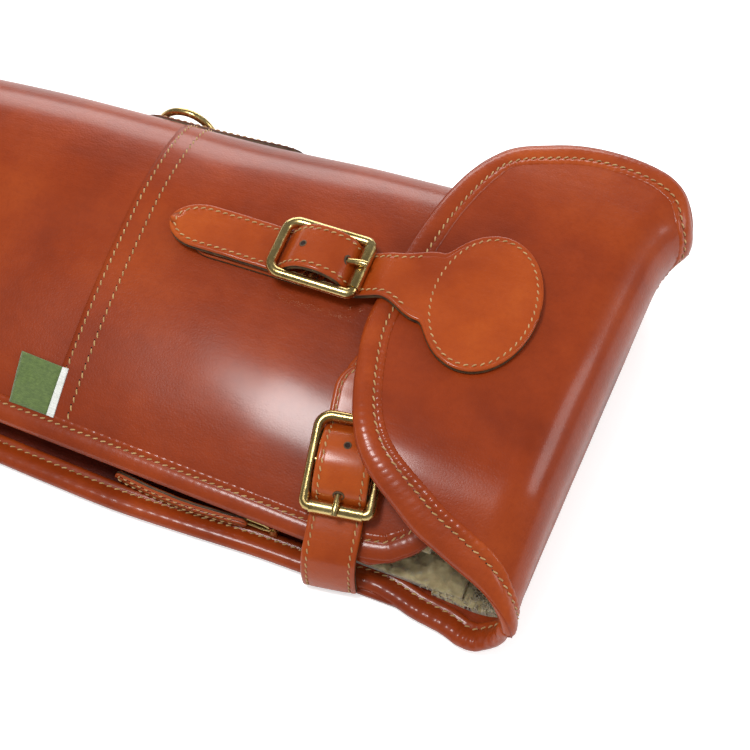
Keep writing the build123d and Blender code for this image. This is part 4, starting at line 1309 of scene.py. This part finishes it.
def seam_on_patch(name, surface, outline, centre, lift):
    """Stitches round a patch, inside its edge."""
    centre = np.asarray(centre, float)
    outline = np.vstack([outline, outline[:1]])
    away = outline - centre
    reach = np.linalg.norm(away, axis=1, keepdims=True)
    line = surface_line(surface, centre + away * (1 - SEAM_INSET / reach), lift)
    return stitches(name, *line, pitch=3.8)


TAB_CENTRE = (-137.0, DISC_Y)
front_tab_outline = slot_outline(TAB_CENTRE, 70, 24.0)
front_tab = patch("front_tab", plan_at, front_tab_outline, TAB_CENTRE, 0.0, 3.0, STRAP_LEATHER)
dress(front_tab, "strap_leather", stands_for=("front_buckle_tab",))
PATCH_CENTRE = (-56.0, -26.0)
side_patch_outline = slot_outline(PATCH_CENTRE, 44.0, 43.9)
side_patch = patch("side_patch", plan_at, side_patch_outline, PATCH_CENTRE, 0.2, 2.4, STRAP_LEATHER)
dress(side_patch, "strap_leather", stands_for=("side_buckle_tab",))
patch_seam = seam_on_patch("side_patch_stitches", plan_at, side_patch_outline, PATCH_CENTRE, 2.4)
dress(patch_seam, "strap_leather")
tongue_centre = ((PATCH_CENTRE[0] + SIDE_BUCKLE[0][0]) / 2, (PATCH_CENTRE[1] + SIDE_BUCKLE[0][1]) / 2 + 2)
tongue_outline = slot_outline(tongue_centre, 54, 24.0, 98.0)
tongue = patch("side_tongue", plan_at, tongue_outline, tongue_centre, 0.1, 2.3, STRAP_LEATHER)
dress(tongue, "strap_leather")
for name, buckle, drop in (("front", FRONT_BUCKLE, 7.6), ("side", SIDE_BUCKLE, 6.6)):
    round_bar = ((-19, -drop), (-12, -drop + 0.6), (-6.5, -4.2), (-3.6, -0.8), (-2.4, 2.0), (0, 3.0))
    round_bar += ((2.5, 1.7), (2.9, -0.8), (0.5, -3.6), (-4.0, -drop + 1.2), (-9, -drop - 0.6))
    loop_path = spaced(curve(in_buckle(buckle, round_bar), 10), 0.8)
    chape = strap(f"{name}_chape", loop_path, buckle[2], level(10.5), 1.5, STRAP_LEATHER)
    dress(chape, "strap_leather")

# ---- Zip --------------------------------------------------------------------------------------------

ZIP_INSET = 8.0
ZIP_XS = (high("zip_teeth_upper")[0], low("zip_teeth_upper")[0])
ZIP_ZS = (10.5, 8.1)
TAPE_HALF = 0.45
TOOTH_PITCH = 2.5


def zip_at(x, rise, out=0.0):
    """A place by the zip's line, from its distance above the line and outwards of it."""
    share = (np.asarray(x, float) - ZIP_XS[0]) / (ZIP_XS[1] - ZIP_XS[0])
    x, rise, out, share = arrays(x, rise, out, share)
    z = ZIP_ZS[0] + (ZIP_ZS[1] - ZIP_ZS[0]) * share + rise
    return np.stack([x, front_y(x) + ZIP_INSET - out, z], -1)


for name, side_sign, near, far in (("upper", 1, 10.5, 7.5), ("lower", -1, 8.0, 5.5)):
    tape_x, share = grid((ZIP_XS[0] + 8, ZIP_XS[1] - 8, 180), (0, 1, 8))
    reach = near + (far - near) * (tape_x - tape_x[0, 0]) / (tape_x[-1, 0] - tape_x[0, 0])
    rise = side_sign * (2.0 + (reach - 2.0) * share)
    wave = 0.35 * np.sin(tape_x / 7.0) * share
    over, under = zip_at(tape_x, rise, wave + TAPE_HALF), zip_at(tape_x, rise, wave - TAPE_HALF)
    tape = slab(f"zip_tape_{name}_piece", over, under, TAPE)
    dress(tape, "zip_tape", stands_for=(f"zip_tape_{name}",))
    verts, faces = [], []
    for k in range(int((ZIP_XS[0] - ZIP_XS[1]) / TOOTH_PITCH)):
        x = ZIP_XS[0] - 0.8 - k * TOOTH_PITCH - (TOOTH_PITCH / 2 if side_sign < 0 else 0)
        first = len(verts)
        for dx, dr in ((-0.55, 0.3), (0.55, 0.3), (0.75, 2.6), (-0.75, 2.6)):
            for out in (-1.15, 1.15):
                verts.append(zip_at(x + dx, side_sign * dr, out))
        a = first
        faces += [(a, a + 2, a + 4, a + 6), (a + 1, a + 7, a + 5, a + 3)]
        faces += [(a + i, a + i + 1, a + (i + 3) % 8, a + (i + 2) % 8) for i in (0, 2, 4, 6)]
    teeth = piece(f"zip_teeth_{name}_piece", verts, faces, BRASS, smooth=False)
    dress(teeth, "zip_teeth", stands_for=(f"zip_teeth_{name}",))

pull_ends = (low("zip_puller"), high("zip_puller"))
pull_start = np.array((pull_ends[1][0] - 0.5, pull_ends[0][1] + 2.2, 0))
pull_stop = np.array((pull_ends[0][0], pull_ends[1][1] - 2.2, 0))
pull_z = (middle("zip_puller")[2] + 0.25, middle("zip_puller")[2] - 0.25)
pull_points = []
for share in (0, 0.05, 0.2, 0.45, 0.7, 0.9, 1.0):
    p = pull_start * (1 - share) + pull_stop * share
    z = pull_z[0] * (1 - share) + pull_z[1] * share
    pull_points.append((p[0], p[1] - 1.0 - 2.6 * math.sin(share * 3.1), z))
pull_curve = curve(pull_points, 14)
PULL_LENGTH = lengths(pull_curve)[-1]
pull = at_lengths(pull_curve, strap_stations(PULL_LENGTH, 2.5, 5.0))


def pull_half(s):
    start_round = np.sqrt(np.clip(1 - (1 - np.clip(s / 2.5, 0, 1)) ** 2, 0.05, 1))
    return 3.9 * start_round * tip_width(s, PULL_LENGTH, 5.0, 1.0) + 0.2


puller = strap("puller_leather", pull, -UP, pull_half, 2.8, STRAP_LEATHER)
dress(puller, "strap_leather", rides="zip_pull", stands_for=("zip_puller",))
puller_seam = seam_on_strap("puller_stitches", pull, -UP, pull_half, 5.0, 1.7, 1.25)
dress(puller_seam, "strap_leather", rides="zip_pull")

# ---- Carrying ring's leather, and the label ---------------------------------------------------------

RING_TAB = middle("ring_tab")
ring_centre = (float(RING_TAB[0]), float(spine_s(RING_TAB[0])) + 1.0)
ring_outline = slot_outline(ring_centre, 92, 24.0)
ring_patch = patch("ring_patch", body_at, ring_outline, ring_centre, 0.4, 2.0, [INNER, EDGE])
dress(ring_patch, "strap_leather", stands_for=("ring_tab",))
ring_seam = seam_on_patch("ring_patch_stitches", body_at, ring_outline, ring_centre, 2.2)
dress(ring_seam, "strap_leather")
RING = middle("d_ring")
ring_bar = np.array((RING[0], low("d_ring")[1] + 2.0, low("d_ring")[2] + 2.0))
loop = ((-6, -6.0), (-1.5, -4.6), (2.2, -3.0), (3.6, 0), (2.2, 3.0), (-1.5, 4.6), (-6, 6.0))
loop_path = spaced(curve([ring_bar + Y_AXIS * y + UP * z for y, z in loop], 10), 0.7)
ring_loop = strap("ring_loop", loop_path, X_AXIS, level(9.5), 1.6, [INNER, EDGE])
dress(ring_loop, "strap_leather")

green_outline = np.array(((-226, -80.5), (-206.4, -81.3), (-206.4, -60), (-228, -58.5)))
white_outline = np.array(((-206.2, -81.3), (-202.6, -81.5), (-203.2, -60), (-206.2, -60)))
cloths = (("label_cloth_green", green_outline, GREEN), ("label_cloth_white", white_outline, WHITE))
for name, outline, paint in cloths:
    centre = outline.mean(axis=0)
    u, v = grid((0, 1, 14), (0, 1, 16))
    corner = outline[:, None, None, :]
    spots = corner[0] * ((1 - u) * (1 - v))[..., None] + corner[1] * (u * (1 - v))[..., None]
    spots = spots + corner[2] * (u * v)[..., None] + corner[3] * ((1 - u) * v)[..., None]
    cloth = sheet(name, plan_at, spots[..., 0], spots[..., 1], 1.3, 1.0, paint)
    dress(cloth, "label_cloth", stands_for=("label",) if paint is GREEN else ())

# ---- Setting ----------------------------------------------------------------------------------------

CAMERA_TARGET = Vector((-0.065, -0.022, 0.050))
CAMERA_AZIMUTH = math.radians(20)
CAMERA_ELEVATION = math.radians(60)
CAMERA_DISTANCE = 0.70
CAMERA_LENS = 73.9
FLOOR_HALF = 6.0
FLOOR_GAP = 0.0005
SKY_ON_CLOTH = 0.76  # the sky's strength in soft light, and in reflections
SKY_IN_GLOSS = 0.18
FLOOR_GLOW = 0.45  # keeps the paper floor pale to the camera
# name, place, aim, width, length, power
LAMPS = (
    ("overhead", (-0.29, -0.19, 0.95), (-0.14, 0.0, 0.0), 0.22, 0.20, 5.0),
    ("right_back", (0.80, 0.30, 0.55), (0.03, 0.0, 0.03), 0.35, 0.35, 2.0),
    ("left_back", (-0.45, 1.0, 0.34), (-0.2, 0.0, 0.03), 0.9, 0.3, 5.0),
)


def finish_brass():
    """The metal parts are the CAD's own, in worn brass."""
    metal = ("buckle", "roller", "prong", "slider", "link", "ring", "stops", "teeth")
    for name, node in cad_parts.items():
        if any(word in name for word in metal) and "tab" not in name:
            node.data.materials.clear()
            node.data.materials.append(BRASS)
            node.data.polygons.foreach_set("use_smooth", [True] * len(node.data.polygons))


def softbox(name, place, aim, width, length, power):
    """A rectangular lamp, aimed at a place."""
    data = bpy.data.lights.new(name, "AREA")
    data.shape = "RECTANGLE"
    data.size, data.size_y = width, length
    data.energy = power
    light = bpy.data.objects.new(name, data)
    light.location = place
    light.rotation_mode = "QUATERNION"
    light.rotation_quaternion = (Vector(aim) - Vector(place)).to_track_quat("-Z", "Y")
    bpy.context.scene.collection.objects.link(light)


def studio():
    """A white paper floor, the lamps, and the photograph's camera."""
    floor_mesh = bpy.data.meshes.new("floor")
    corners = [(FLOOR_HALF * x, FLOOR_HALF * y, 0) for x, y in ((-1, -1), (1, -1), (1, 1), (-1, 1))]
    floor_mesh.from_pydata(corners, [], [(0, 1, 2, 3)])
    floor = bpy.data.objects.new("floor", floor_mesh)
    floor.location.z = min(0.0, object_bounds()[0].z) - FLOOR_GAP
    bpy.context.scene.collection.objects.link(floor)
    m = Nodes("paper_floor")
    colour = m.ramp(m.noise(3.0, 2.0), ((0.3, (0.93, 0.93, 0.93)), (0.7, (0.96, 0.96, 0.96))))
    paper = m.done(colour, m.span(m.noise(8.0), 0.8, 0.9), Specular_IOR_Level=0.2)
    m.shader.inputs["Emission Color"].default_value = (1.0, 1.0, 1.0, 1.0)
    rays = m.node("ShaderNodeLightPath")
    glow = m.node("ShaderNodeMapRange")
    glow.inputs["To Max"].default_value = FLOOR_GLOW
    m.link(rays.outputs["Is Camera Ray"], glow.inputs["Value"])
    m.link(glow.outputs["Result"], m.shader.inputs["Emission Strength"])
    floor_mesh.materials.append(paper)
    floor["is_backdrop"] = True
    world = bpy.data.worlds.new("studio")
    bpy.context.scene.world = world
    world.use_nodes = True
    sky = world.node_tree.nodes["Background"]
    sky.inputs["Color"].default_value = (1.0, 1.0, 1.0, 1.0)
    # the studio is dark except for its lights, as polished leather and brass reflect it
    rays = world.node_tree.nodes.new("ShaderNodeLightPath")
    strength = world.node_tree.nodes.new("ShaderNodeMapRange")
    strength.inputs["To Min"].default_value = SKY_ON_CLOTH
    strength.inputs["To Max"].default_value = SKY_IN_GLOSS
    world.node_tree.links.new(rays.outputs["Is Glossy Ray"], strength.inputs["Value"])
    world.node_tree.links.new(strength.outputs["Result"], sky.inputs["Strength"])
    for lamp in LAMPS:
        softbox(*lamp)
    back = Vector(
        (
            math.sin(CAMERA_AZIMUTH) * math.cos(CAMERA_ELEVATION),
            -math.cos(CAMERA_AZIMUTH) * math.cos(CAMERA_ELEVATION),
            math.sin(CAMERA_ELEVATION),
        )
    )
    data = bpy.data.cameras.new("camera")
    data.sensor_width = 36.0
    data.lens = CAMERA_LENS
    camera = bpy.data.objects.new("camera", data)
    camera.location = CAMERA_TARGET + back * CAMERA_DISTANCE
    camera.rotation_mode = "QUATERNION"
    camera.rotation_quaternion = (-back).to_track_quat("-Z", "Y")
    bpy.context.scene.collection.objects.link(camera)
    bpy.context.scene.camera = camera
    bpy.context.scene.view_settings.view_transform = "Standard"


finish_brass()
studio()
